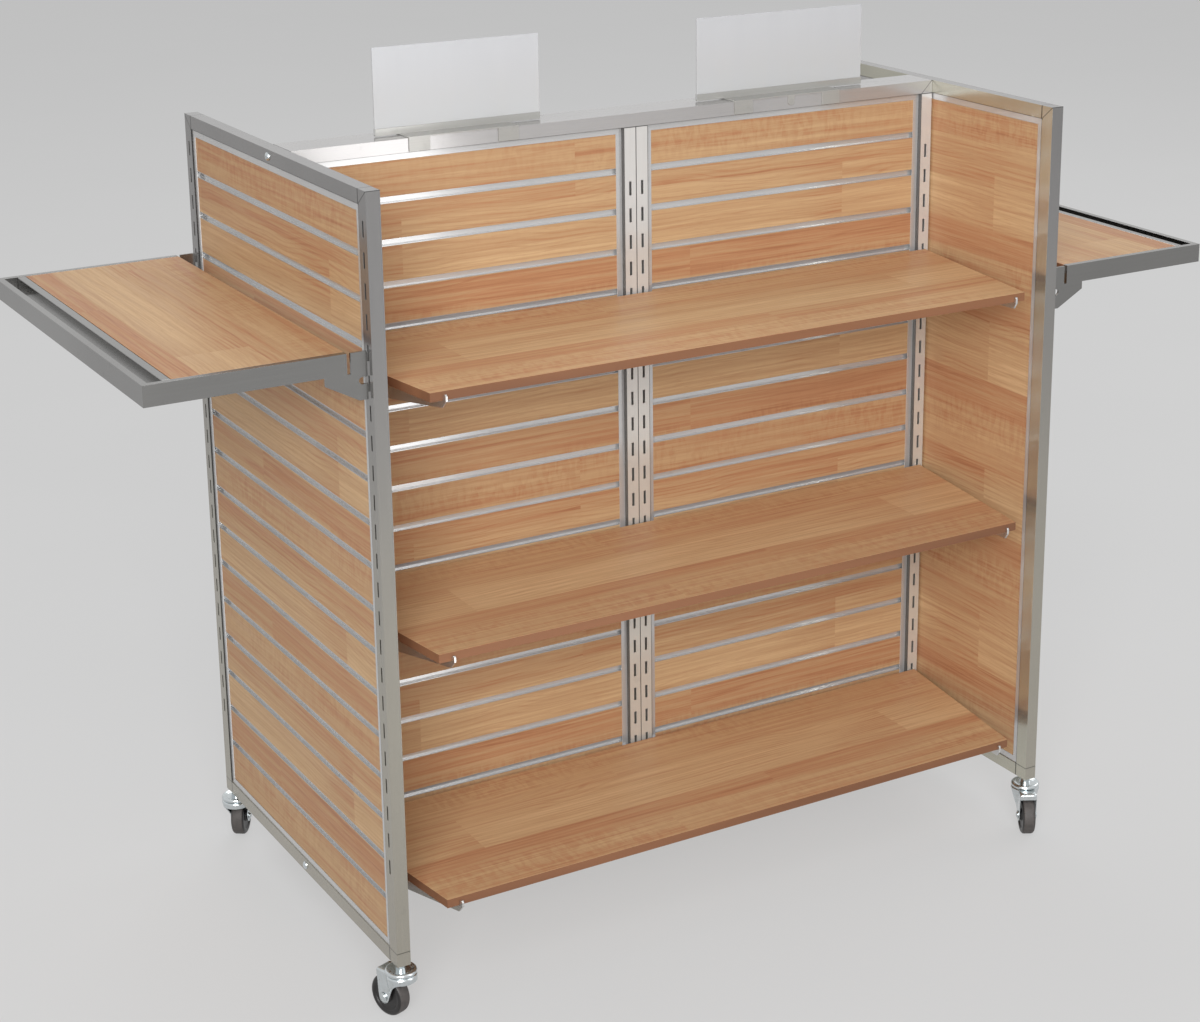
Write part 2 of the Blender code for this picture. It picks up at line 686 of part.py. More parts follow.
def build_stem(name, carrier, material):
    """The fixed half: stem in the upright, collar, upper race and the rivet under the fork's crown."""
    pin = AXLE_RADIUS
    profile = [
        (0.0, COLLAR_TOP + STEM_LENGTH),
        (STEM_RADIUS, COLLAR_TOP + STEM_LENGTH),
        (STEM_RADIUS, COLLAR_TOP),
        (COLLAR_RADIUS, COLLAR_TOP),
        (COLLAR_RADIUS, RACE_TOP),
        (RACE_RADIUS - RACE_ROLL, RACE_TOP),
        (RACE_RADIUS, RACE_TOP - RACE_ROLL),
        (RACE_RADIUS, RACE_BOTTOM),
        (pin, RACE_BOTTOM),
        (pin, CROWN_BOTTOM - FIT_GAP),
        (RIVET_RADIUS, CROWN_BOTTOM - FIT_GAP),
        (RIVET_RADIUS, RIVET_BOTTOM),
        (0.0, RIVET_BOTTOM),
    ]
    bm = bmesh.new()
    add_turned(bm, profile, TURNED_SIDES)
    new_object(name, bm, material, carrier, smooth=True)


def build_fork(name, carrier, material):
    """The swivelling half: a crown, a bridge over the wheel, two legs and the axle riveted through them."""
    bore = AXLE_RADIUS + FIT_GAP
    crown = [(bore, CROWN_TOP), (CROWN_RADIUS - RACE_ROLL, CROWN_TOP)]
    crown += [(CROWN_RADIUS, CROWN_TOP - RACE_ROLL), (CROWN_RADIUS, CROWN_BOTTOM), (bore, CROWN_BOTTOM)]
    bm = bmesh.new()
    add_turned(bm, crown, TURNED_SIDES)
    fork = new_object(name, bm, material, carrier, smooth=True)

    inside = WHEEL_WIDTH / 2 + WHEEL_SIDE_GAP
    outside = inside + FORK_SHEET
    chord = math.sqrt(CROWN_RADIUS**2 - outside**2) - RACE_ROLL
    shoulder = CROWN_TOP - RACE_ROLL
    leg = arc((TRAIL, WHEEL_RADIUS), FORK_FOOT_RADIUS, 200, 350)
    leg += [(FORK_BACK, CROWN_BOTTOM), (FORK_BACK, shoulder), (-chord, shoulder)]
    legs = bmesh.new()
    for side in SIDES.values():
        add_prism(legs, leg, side * inside, side * outside, along_y)
    combine(fork, "UNION", legs)

    bridge = bmesh.new()
    lap = inside + WELD_LAP
    add_box(bridge, (chord, FORK_BACK), (-lap, lap), (CROWN_BOTTOM, shoulder))
    combine(fork, "UNION", bridge)

    def place(a, b, depth):
        return (TRAIL + a, depth, WHEEL_RADIUS + b)

    axle = bmesh.new()
    head = outside + AXLE_HEAD_HEIGHT
    seat = outside - WELD_LAP
    profile = [(0.0, head), (AXLE_HEAD_RADIUS, head), (AXLE_HEAD_RADIUS, seat), (AXLE_RADIUS, seat)]
    profile += [(radius, -depth) for radius, depth in reversed(profile)]
    add_turned(axle, profile, TURNED_SIDES, place)
    combine(fork, "UNION", axle)


def build_wheel(name, carrier, material):
    """A moulded wheel with bevelled shoulders, a flat facet resting on the floor."""
    half = WHEEL_WIDTH / 2
    bore = AXLE_RADIUS + FIT_GAP
    widen = 1 / math.cos(math.pi / WHEEL_SIDES)
    tread = WHEEL_RADIUS * widen
    profile = [(bore, half), (tread - TYRE_SHOULDER, half), (tread, half - TYRE_SHOULDER)]
    profile += [(radius, -depth) for radius, depth in reversed(profile)]

    def place(a, b, depth):
        return (a, depth, b)

    bm = bmesh.new()
    add_turned(bm, profile, WHEEL_SIDES, place, phase=math.pi / 2 + math.pi / WHEEL_SIDES)
    wheel = new_object(name, bm, material, carrier, smooth=True)
    wheel.location = (TRAIL, 0.0, WHEEL_RADIUS)


def main():
    """Clear the scene and build every piece."""
    for existing in list(bpy.data.objects):
        bpy.data.objects.remove(existing, do_unlink=True)
    steel = make_material("satin_steel", (0.62, 0.61, 0.57), 0.28, 1.0)
    aluminium = make_material("aluminium_trim", (0.66, 0.66, 0.64), 0.32, 1.0)
    wood = make_material("wood_laminate", (0.52, 0.30, 0.17), 0.45, 0.0)
    white = make_material("sign_white", (0.82, 0.84, 0.85), 0.30, 0.0)
    zinc = make_material("bright_zinc", (0.72, 0.74, 0.76), 0.22, 1.0)
    rubber = make_material("dark_rubber", (0.035, 0.034, 0.035), 0.55, 0.0)

    for side_name, side in SIDES.items():
        build_end_frame(f"{side_name}_end_frame", side, steel)
        foot = Vector((side * UPRIGHT_X, 0.0, OPENING_BOTTOM))
        width = FRAME_DEPTH - 2 * UPRIGHT_DEPTH
        build_slat_panel(f"{side_name}_end", width, foot, Vector((side, 0.0, 0.0)), wood, aluminium)
        for level, height in BOLT_HEIGHTS.items():
            build_bolt(f"{side_name}_{level}_bolt", side, height, zinc)
        build_tray(side_name, side, steel, wood)
        build_sign(side_name, side, steel, white)

    build_centre_frame(steel)
    bay_depth = CENTRE_HALF_DEPTH - BAY_PANEL_RECESS - EDGING_THICKNESS / 2
    for face_name, face in FACES.items():
        for side_name, side in SIDES.items():
            foot = Vector((side * BAY_X, face * bay_depth, OPENING_BOTTOM))
            prefix = f"{face_name}_{side_name}"
            build_slat_panel(prefix, BAY_WIDTH, foot, Vector((0.0, face, 0.0)), wood, aluminium)
        carrier = new_empty(f"{face_name}_shelves", (0.0, 0.0, 0.0), 0.0 if face < 0 else math.pi)
        for level, slot in enumerate(SHELF_SLOTS, start=1):
            build_shelf(face_name, level, slot, carrier, wood, steel)

    for name in CASTOR_ANGLES:
        face_name, side_name = name.split("_")
        build_castor(name, SIDES[side_name] * UPRIGHT_X, FACES[face_name] * UPRIGHT_Y, zinc, rubber)


main()
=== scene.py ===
"""Looks of the gondola shelving: finishes, fine castors and bolts, stage and camera."""
import json
import math

import bmesh
import bpy
from bpy.props import FloatProperty, FloatVectorProperty, PointerProperty
from mathutils import Matrix, Vector


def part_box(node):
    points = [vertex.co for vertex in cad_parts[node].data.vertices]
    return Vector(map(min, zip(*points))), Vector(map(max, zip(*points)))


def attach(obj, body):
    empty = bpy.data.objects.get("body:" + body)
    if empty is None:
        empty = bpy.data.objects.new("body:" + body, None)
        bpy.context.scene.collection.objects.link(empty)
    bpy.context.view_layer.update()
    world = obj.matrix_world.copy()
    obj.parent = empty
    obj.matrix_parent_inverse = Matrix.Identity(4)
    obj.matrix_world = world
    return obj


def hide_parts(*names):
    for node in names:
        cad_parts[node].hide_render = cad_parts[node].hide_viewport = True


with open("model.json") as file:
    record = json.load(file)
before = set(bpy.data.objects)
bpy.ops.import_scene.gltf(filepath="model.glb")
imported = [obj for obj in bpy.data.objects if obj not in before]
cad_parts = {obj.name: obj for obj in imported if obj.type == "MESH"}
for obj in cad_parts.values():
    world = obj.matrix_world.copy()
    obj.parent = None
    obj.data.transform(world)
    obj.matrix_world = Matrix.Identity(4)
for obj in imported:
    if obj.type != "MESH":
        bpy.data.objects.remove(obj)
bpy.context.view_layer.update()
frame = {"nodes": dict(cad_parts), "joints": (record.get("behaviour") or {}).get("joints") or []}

bl_info = {
    "name": "Gondola shelving looks",
    "version": (1, 0, 0),
    "blender": (4, 5, 0),
    "location": "View3D > Sidebar > Shelving",
    "description": (
        "Finishes the frames, panels, shelves, trays, signs and castors of a gondola shelving unit"
    ),
    "category": "Object",
}

SIDES = ("left", "right")
FACES = ("front", "rear")
CORNERS = [f"{face}_{side}" for face in FACES for side in SIDES]
LEVELS = (1, 2, 3)
AXIS = {"X": 0, "Y": 1, "Z": 2}
REACH = "reach"

# Corners of the pieces that the finishes are laid out from
END_LOW, END_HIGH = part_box("right_end_frame")
END_TRIM_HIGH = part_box("right_end_edging")[1]
CENTRE_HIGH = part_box("centre_frame")[1]
BAY_TRIM_LOW, BAY_TRIM_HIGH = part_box("front_right_edging")
PANEL_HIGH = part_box("front_right_panel")[1]
SHELF_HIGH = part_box("front_shelf_1")[1]
TRAY_BOARD_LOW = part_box("right_tray_board")[0]
BOLT_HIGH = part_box("right_top_bolt")[1]
SIGN_LOW, SIGN_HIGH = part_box("right_sign_plate")
UPRIGHT_DEPTH = END_HIGH.y - END_TRIM_HIGH.y
RAIL_HEIGHT = END_HIGH.z - END_TRIM_HIGH.z


def colour(name, description, default):
    """A colour that the sidebar can change, in linear values."""
    return FloatVectorProperty(
        name=name,
        description=description,
        default=default,
        subtype="COLOR",
        size=3,
        min=0.0,
        max=1.0,
    )


def length(name, description, default):
    """A length in metres that the sidebar can change."""
    return FloatProperty(
        name=name,
        description=description,
        default=default,
        subtype="DISTANCE",
        unit="LENGTH",
        precision=4,
        min=0.0,
    )


def share(name, description, default):
    """A plain number from 0 to 1."""
    return FloatProperty(
        name=name, description=description, default=default, min=0.0, max=1.0, subtype="FACTOR"
    )


def power(name, description, default):
    """A lamp's power in watts."""
    return FloatProperty(name=name, description=description, default=default, subtype="POWER")


def angle(name, description, degrees):
    """An angle, written in degrees and kept in radians."""
    return FloatProperty(
        name=name, description=description, default=math.radians(degrees), subtype="ANGLE"
    )


class GONDOLA_finishes(bpy.types.PropertyGroup):
    """Colours and gloss of the unit's materials."""

    wood_pale: colour("Pale wood", "Palest streaks of the laminate", (0.62, 0.42, 0.236))
    wood_tan: colour("Tan wood", "Tan planks of the laminate", (0.553, 0.362, 0.198))
    wood_brown: colour("Brown wood", "Middle tone of the laminate", (0.486, 0.296, 0.158))
    wood_red: colour("Red wood", "Red planks of the laminate", (0.458, 0.234, 0.121))
    wood_dark: colour("Dark wood", "Veins and dark streaks of the laminate", (0.375, 0.172, 0.087))
    # Board edges: partly their own slightly darker tone, partly painted shade on the side faces
    wood_edge_and_shade: colour("Board edges", "Banding on the boards' edges", (0.19, 0.088, 0.048))
    wood_gloss: share("Wood roughness", "Roughness of the laminate", 0.42)
    steel: colour("Steel", "Satin plating of the end frames", (0.31, 0.303, 0.3))
    steel_warm: colour("Warm steel", "Tint of the end frames lower down", (0.42, 0.397, 0.342))
    # Painted reflection: colour for the faces that look into the bays, paler and warmer to stand
    # for the lit wood they mirror
    steel_painted_inner_reflection: colour(
        "Inner steel", "Faces of the end frames that look into the bays", (0.56, 0.55, 0.47)
    )
    rail_steel: colour("Rail steel", "Plating of the centre frame's rails", (0.5, 0.49, 0.485))
    post_steel: colour("Post steel", "Paler plating of posts and brackets", (0.68, 0.67, 0.655))
    post_warm: colour("Warm post steel", "Tint of the posts lower down", (0.68, 0.655, 0.6))
    steel_gloss: share("Steel roughness", "Roughness of the plating", 0.2)
    tray_steel: colour("Tray steel", "Plating of the trays", (0.29, 0.286, 0.278))
    holder_steel: colour("Holder steel", "Dull plating of the sign holders", (0.4, 0.395, 0.375))
    trim: colour("Trim", "Rim trim and groove inserts of the panels", (0.6, 0.6, 0.6))
    trim_gloss: share("Trim roughness", "Roughness of trim and inserts", 0.19)
    zinc: colour("Zinc", "Castors and bolts", (0.66, 0.70, 0.72))
    rubber: colour("Wheel", "Moulded wheels", (0.011, 0.010, 0.010))
    tread: colour("Tread", "Worn running face of the wheels", (0.075, 0.066, 0.062))
    sign: colour("Sign", "Plates on the top rail", (0.52, 0.53, 0.55))


class GONDOLA_sizes(bpy.types.PropertyGroup):
    """Edge rounding, the laminate's pattern and the fine shapes of the castors."""

    plank_repeat: length("Plank repeat", "Width of the plank pattern before it repeats", 0.30)
    stave: length("Stave length", "Length of the laminate's staves along the grain", 0.93)
    tube_edge: length("Tube edge", "Rounding of the steel tubes", 0.0012)
    tray_edge: length("Tray edge", "Rounding of the tray's bars", 0.0015)
    board_edge: length("Board edge", "Rounding of shelf and tray boards", 0.0006)
    plate_edge: length("Plate edge", "Rounding of brackets and sign holders", 0.0004)
    fork_sheet: length("Fork sheet", "Thickness of the castor's pressed fork", 0.0025)
    fork_round: length("Fork shoulder", "Radius of the fork's upper edge", 0.0045)
    shoulder: length("Tyre shoulder", "Radius of the wheel's shoulders", 0.006)


class GONDOLA_stage(bpy.types.PropertyGroup):
    """Floor, light and camera."""

    floor: colour("Floor", "Pale floor under the unit", (0.52, 0.52, 0.52))
    backdrop: share("Backdrop", "Brightness of the plain surroundings", 0.78)
    haze: share("Haze", "Share of the backdrop's tone in the floor that is seen", 0.58)
    floor_reach: length("Floor reach", "Radius of the floor", 40.0)
    sky: FloatProperty(
        name="Sky", description="Strength of the even light from all round", default=0.31, min=0.0
    )
    key: power("Key light", "Power of the front lamp", 520.0)
    top: power("Top light", "Power of the high front lamp", 140.0)
    back: power("Back light", "Power of the high lamp behind", 140.0)
    side: power("Side light", "Power of the lamp at the right", 90.0)
    strip: power("Strip light", "Power of the tall narrow lamp", 3.4)
    focal: FloatProperty(name="Focal length", description="Lens of the camera in mm", default=71.53)
    shift: FloatVectorProperty(
        name="Shift", description="Framing shift", default=(-0.0628, -0.1133), size=2
    )
    spot: FloatVectorProperty(
        name="Camera",
        description="Where the camera stands",
        default=(-2.1409, -3.7290, 2.2241),
        subtype="TRANSLATION",
    )
    azimuth: angle("Azimuth", "Turn from +Y", 31.047)
    pitch: angle("Pitch", "Tilt below level", 16.524)
    roll: angle("Roll", "Turn about the lens", -0.249)


class Nodes:
    """A node tree, with short calls for the nodes that finishes and surroundings share."""

    def __init__(self, tree):
        self.tree = tree

    def feed(self, socket, value):
        """Link a socket, or set its value."""
        if isinstance(value, bpy.types.NodeSocket):
            self.tree.links.new(value, socket)
        elif socket.type == "RGBA" and len(value) == 3:
            socket.default_value = (*value, 1.0)
        else:
            socket.default_value = value

    def add(self, kind, inputs, **settings):
        """A node with its settings and inputs."""
        node = self.tree.nodes.new(kind)
        for key, value in settings.items():
            setattr(node, key, value)
        for key, value in inputs.items():
            self.feed(node.inputs[key], value)
        return node

    def place(self):
        """Coordinates of the piece in its own axes, in metres."""
        return self.add("ShaderNodeTexCoord", {}).outputs["Object"]

    def axes(self, vector):
        """The X, Y and Z of a vector."""
        return self.add("ShaderNodeSeparateXYZ", {0: vector}).outputs

    def facing(self):
        """The X, Y and Z of the direction that the surface faces."""
        return self.axes(self.add("ShaderNodeNewGeometry", {}).outputs["Normal"])

    def calc(self, operation, first, second=0.0):
        """One sum on numbers."""
        return self.add("ShaderNodeMath", {0: first, 1: second}, operation=operation).outputs[0]

    def near(self, value, spot, reach):
        """1 on a line where a coordinate has one value, falling to 0 at a small distance."""
        away = self.calc("ABSOLUTE", self.calc("SUBTRACT", value, spot))
        return self.span(away, reach * 0.4, reach, 1.0, 0.0)

    def stretch(self, vector, scale):
        """A vector with each axis scaled."""
        inputs = {0: vector, 1: scale}
        return self.add("ShaderNodeVectorMath", inputs, operation="MULTIPLY").outputs[0]

    def noise(self, vector, detail=2.0, roughness=0.5, distortion=0.0):
        """Cloudy values round 0.5 at one wave per unit."""
        inputs = {"Vector": vector, "Scale": 1.0, "Detail": detail}
        inputs |= {"Roughness": roughness, "Distortion": distortion}
        return self.add("ShaderNodeTexNoise", inputs).outputs[0]

    def span(self, value, low, high, start=0.0, end=1.0):
        """Ease a value between two limits into another range."""
        inputs = {"Value": value, "From Min": low, "From Max": high, "To Min": start, "To Max": end}
        return self.add("ShaderNodeMapRange", inputs, interpolation_type="SMOOTHSTEP").outputs[0]

    def triple(self, kind, value):
        """A vector or a colour with one value three times."""
        return self.add(kind, {0: value, 1: value, 2: value}).outputs[0]

    def mix(self, amount, first, second, blend="MIX"):
        """Blend two colours."""
        inputs = {0: amount, 6: first, 7: second}
        return self.add("ShaderNodeMix", inputs, data_type="RGBA", blend_type=blend).outputs[2]

    def ramp(self, value, stops):
        """Grey or colour stops along a value."""
        node = self.add("ShaderNodeValToRGB", {0: value})
        steps = node.color_ramp.elements
        for index, (position, tone) in enumerate(stops):
            step = steps[index] if index < 2 else steps.new(position)
            step.position = position
            step.color = (*tone, 1.0) if isinstance(tone, tuple) else (tone, tone, tone, 1.0)
        return node.outputs[0]


class Finish(Nodes):
    """A material and its shader."""

    def __init__(self, name):
        self.material = bpy.data.materials.new(name)
        self.material.use_nodes = True
        super().__init__(self.material.node_tree)
        self.shader = self.tree.nodes["Principled BSDF"]

    def bump(self, height, distance):
        """Fine relief from a height."""
        inputs = {"Height": height, "Distance": distance, "Strength": 1.0}
        self.feed(self.shader.inputs["Normal"], self.add("ShaderNodeBump", inputs).outputs[0])

    def done(self, base, roughness, metallic=0.0):
        """Set the main values and hand the material over."""
        self.feed(self.shader.inputs["Base Color"], base)
        self.feed(self.shader.inputs["Roughness"], roughness)
        self.feed(self.shader.inputs["Metallic"], metallic)
        return self.material


# Tones across one repeat of the laminate, from red-brown at 0 to pale tan at 1
PLANK_TONES = (
    (0.0, 0.56),
    (0.22, 0.58),
    (0.34, 0.52),
    (0.38, 0.46),
    (0.385, 0.64),
    (0.55, 0.8),
    (0.785, 0.82),
    (0.79, 0.38),
    (0.94, 0.4),
    (1.0, 0.56),
)
FLAKED_PLANKS = ((0.0, 1.0), (0.16, 1.0), (0.28, 0.12), (0.92, 0.08), (1.0, 1.0))
FIGURED_PLANKS = ((0.0, 0.25), (0.3, 0.5), (0.4, 1.0), (0.77, 0.9), (0.8, 0.45), (1.0, 0.25))
PLANK_EDGES = (0.383, 0.788)

# Where the middle plank's staves meet along the grain, and how far each plank's joints step on
BAY_JOINT = 0.465
END_JOINT = -0.235
TRAY_JOINT = -0.265
STAVE_STEP = 0.37

# Painted light: paleness of each kind of board, though all are one laminate, to even out how
# brightly the lamps light them
BAY_PAINTED_LIGHT = 0.93
END_PAINTED_LIGHT = 1.03
SHELF_PAINTED_LIGHT = 1.12
TRAY_PAINTED_LIGHT = 1.07

# Waves per metre of the grain's markings, along the grain and across it
GRAIN_WAVES = {
    "drift": (0.9, 9.0),
    "streaks": (1.3, 72.0),
    "veins": (1.1, 34.0),
    "lines": (2.4, 150.0),
    "pores": (34.0, 800.0),
    "bend": (2.6, 9.0),
    "flakes": (95.0, 34.0),
    "patches": (5.0, 12.0),
}
RINGS_PER_METRE = 115.0
RING_BEND = 9.0
STAVE_SHIFT = 7.0
PORE_DEPTH = 0.00005
WOOD_SPECULAR = 0.14


def wood_finish(name, run, across, start, joint, painted_light, mirrored=False, edged=False):
    """Planked wood laminate with its grain along one axis and its planks laid across another.

    The planks are counted down from start, or on mirrored boards outward from it, and joint is
    where the staves of the middle plank meet. The paleness factor is painted light: it makes one
    kind of board paler or darker than another of the same laminate.
    """
    looks = bpy.context.scene.gondola_finishes
    sizes = bpy.context.scene.gondola_sizes
    wood = Finish(name)
    place = wood.place()
    axes = wood.axes(place)
    level = axes[AXIS[across]]
    if mirrored:
        drop = wood.calc("SUBTRACT", wood.calc("ABSOLUTE", level), start)
    else:
        drop = wood.calc("SUBTRACT", start, level)
    repeat = wood.calc("FRACT", wood.calc("DIVIDE", drop, sizes.plank_repeat))
    second = wood.calc("GREATER_THAN", repeat, PLANK_EDGES[0])
    third = wood.calc("GREATER_THAN", repeat, PLANK_EDGES[1])
    plank = wood.calc("ADD", second, third)
    middle = wood.calc("SUBTRACT", second, third)

    # Staves butted end to end, each with its own tone and its own grain
    ahead = sizes.stave if run == "X" else -sizes.stave
    count = wood.calc("DIVIDE", wood.calc("SUBTRACT", axes[AXIS[run]], joint), ahead)
    step = wood.calc("MULTIPLY", wood.calc("SUBTRACT", plank, 1.0), STAVE_STEP)
    count = wood.calc("ADD", count, step)
    inputs = {0: wood.calc("FLOOR", count), 1: plank}
    inputs = {"Vector": wood.add("ShaderNodeCombineXYZ", inputs).outputs[0]}
    chance = wood.add("ShaderNodeTexWhiteNoise", inputs, noise_dimensions="2D").outputs[0]
    shift = wood.triple("ShaderNodeCombineXYZ", wood.calc("MULTIPLY", chance, STAVE_SHIFT))
    grown = wood.add("ShaderNodeVectorMath", {0: place, 1: shift}, operation="ADD").outputs[0]

    def waves(kind, vector):
        along, over = GRAIN_WAVES[kind]
        return wood.stretch(vector, tuple(along if axis == run else over for axis in "XYZ"))

    drift = wood.noise(waves("drift", place), detail=3.0)
    streaks = wood.noise(waves("streaks", grown), detail=3.0, roughness=0.6)
    veins = wood.noise(waves("veins", grown), detail=3.0, roughness=0.55)
    lines = wood.noise(waves("lines", grown), detail=3.0, roughness=0.7)
    pores = wood.noise(waves("pores", place), detail=1.0)
    bend = wood.noise(waves("bend", place), detail=2.0)
    flakes = wood.noise(waves("flakes", place), detail=2.0, distortion=0.6)
    patches = wood.noise(waves("patches", place), detail=2.0)

    # Tone of the plank, moved by its stave, slow drift, streaks, fine lines and veins
    tone = wood.ramp(repeat, PLANK_TONES)
    tone = wood.calc("ADD", tone, wood.span(chance, 0.0, 1.0, -0.02, 0.02))
    tone = wood.calc("ADD", tone, wood.span(drift, 0.3, 0.7, -0.08, 0.08))
    tone = wood.calc("ADD", tone, wood.span(streaks, 0.34, 0.66, -0.1, 0.1))
    tone = wood.calc("ADD", tone, wood.span(lines, 0.36, 0.62, -0.16, 0.1))
    vein = wood.calc("ABSOLUTE", wood.calc("SUBTRACT", veins, 0.5))
    tone = wood.calc("SUBTRACT", tone, wood.span(vein, 0.0, 0.03, 0.15, 0.0))

    # Growth rings in patches of the figured planks
    rings = wood.calc("MULTIPLY", drop, RINGS_PER_METRE)
    rings = wood.calc("ADD", rings, wood.calc("MULTIPLY", bend, RING_BEND))
    rings = wood.calc("SINE", wood.calc("MULTIPLY", rings, 2 * math.pi))
    patchy = wood.span(patches, 0.35, 0.6, 0.3, 1.0)
    figure = wood.calc("MULTIPLY", wood.ramp(repeat, FIGURED_PLANKS), patchy)
    rings = wood.calc("MULTIPLY", wood.span(rings, 0.1, 1.0, 0.0, 0.2), figure)
    tone = wood.calc("SUBTRACT", tone, rings)

    # Darker heartwood at one end of the middle plank's staves
    heart = wood.calc("ADD", wood.calc("FRACT", count), wood.span(bend, 0.3, 0.7, -0.05, 0.05))
    heart = wood.calc("MULTIPLY", wood.span(heart, 0.8, 1.0, 0.0, 0.16), middle)
    tone = wood.calc("SUBTRACT", tone, heart)

    # Cross flakes in patches of the flaked planks
    flaked = wood.calc("MULTIPLY", wood.ramp(repeat, FLAKED_PLANKS), patchy)
    flaked = wood.calc("MULTIPLY", wood.span(flakes, 0.36, 0.6, -0.14, 0.05), flaked)
    tone = wood.calc("ADD", tone, flaked)

    shades = (
        (0.0, looks.wood_dark),
        (1.0, looks.wood_pale),
        (0.27, looks.wood_red),
        (0.5, looks.wood_brown),
        (0.8, looks.wood_tan),
    )
    # Painted light: the colours are scaled paler or darker for each kind of board
    stops = [(position, tuple(value * painted_light for value in shade)) for position, shade in shades]
    base = wood.ramp(tone, stops)
    base = wood.mix(wood.span(pores, 0.6, 0.75, 0.0, 0.3), base, tuple(looks.wood_dark))
    # Side faces of the boards: partly their own darker edge tone, partly painted shade
    if edged:
        side_face = wood.span(wood.calc("ABSOLUTE", wood.facing()[2]), 0.8, 0.4)
        shaded = wood.span(drift, 0.35, 0.65, 0.0, 0.4)
        edge_tone_and_shade = wood.mix(shaded, tuple(looks.wood_edge_and_shade), tuple(looks.wood_dark))
        base = wood.mix(side_face, base, edge_tone_and_shade)
    wood.bump(wood.calc("SUBTRACT", lines, wood.span(pores, 0.6, 0.75)), PORE_DEPTH)
    gloss = wood.span(streaks, 0.3, 0.7, looks.wood_gloss - 0.05, looks.wood_gloss + 0.06)
    wood.shader.inputs["Specular IOR Level"].default_value = WOOD_SPECULAR
    return wood.done(base, gloss)


# How metallic each plating is
END_METALLIC = 0.8
RAIL_METALLIC = 0.6
POST_METALLIC = 0.4
BRACKET_METALLIC = 0.9
TRAY_METALLIC = 1.0
HOLDER_METALLIC = 0.3
TRIM_METALLIC = 0.55

# Waves per metre of the metal's markings, and the heights between which its tint changes
UPRIGHT_SCRATCHES = (900.0, 900.0, 9.0)
LEVEL_SCRATCHES = (9.0, 9.0, 900.0)
CLOUD_WAVES = (3.5, 3.5, 2.6)
WEAR_WAVES = (60.0, 60.0, 45.0)
SCRATCH_DEPTH = 0.000001
WARM_BELOW = 0.5
COOL_ABOVE = 1.3

# Painted shade as dark lines in the gaps between pieces: their reach in metres, for the mitre in
# widths of the tube
RIM_LINE = 0.0018
SEAM_LINE = 0.0012
BUTT_LINE = 0.0009
MITRE_LINE = 0.05
SEAM_SHADE = 0.18


def brushed(metal, place, level_share):
    """Fine scratches along the tubes: upright ones, or level ones where level_share is 1."""
    upright = metal.noise(metal.stretch(place, UPRIGHT_SCRATCHES), detail=2.0)
    level = metal.noise(metal.stretch(place, LEVEL_SCRATCHES), detail=2.0)
    change = metal.calc("MULTIPLY", level_share, metal.calc("SUBTRACT", level, upright))
    return metal.calc("ADD", upright, change)


def metal_finish(metal, cool, warm, gloss, metallic, scratches, painted_gap_shade=None):
    """Satin metal with faint clouds and scratches, warmer low down, with painted shade in the gaps
    between pieces.
    """
    place = metal.place()
    clouds = metal.noise(metal.stretch(place, CLOUD_WAVES), detail=3.0)
    wear = metal.noise(metal.stretch(place, WEAR_WAVES), detail=2.0)
    scratched = metal.span(scratches, 0.3, 0.7, -0.02, 0.02)
    shade = metal.calc("ADD", metal.span(clouds, 0.3, 0.7, 0.95, 1.03), scratched)
    shade = metal.calc("SUBTRACT", shade, metal.span(wear, 0.62, 0.8, 0.0, 0.06))
    # Painted shade: the colour is darkened along the gaps between pieces
    if painted_gap_shade is not None:
        shade = metal.calc("MULTIPLY", shade, metal.span(painted_gap_shade, 0.0, 1.0, 1.0, SEAM_SHADE))
    height = metal.axes(place)[2]
    base = metal.mix(metal.span(height, WARM_BELOW, COOL_ABOVE, 1.0, 0.0), cool, warm)
    base = metal.mix(1.0, base, metal.triple("ShaderNodeCombineColor", shade), "MULTIPLY")
    rough = metal.span(clouds, 0.3, 0.7, gloss + 0.03, gloss - 0.02)
    rough = metal.calc("ADD", rough, metal.span(wear, 0.6, 0.8, 0.0, 0.03))
    rough = metal.calc("ADD", rough, scratched)
    metal.bump(scratches, SCRATCH_DEPTH)
    return metal.done(base, rough, metallic)


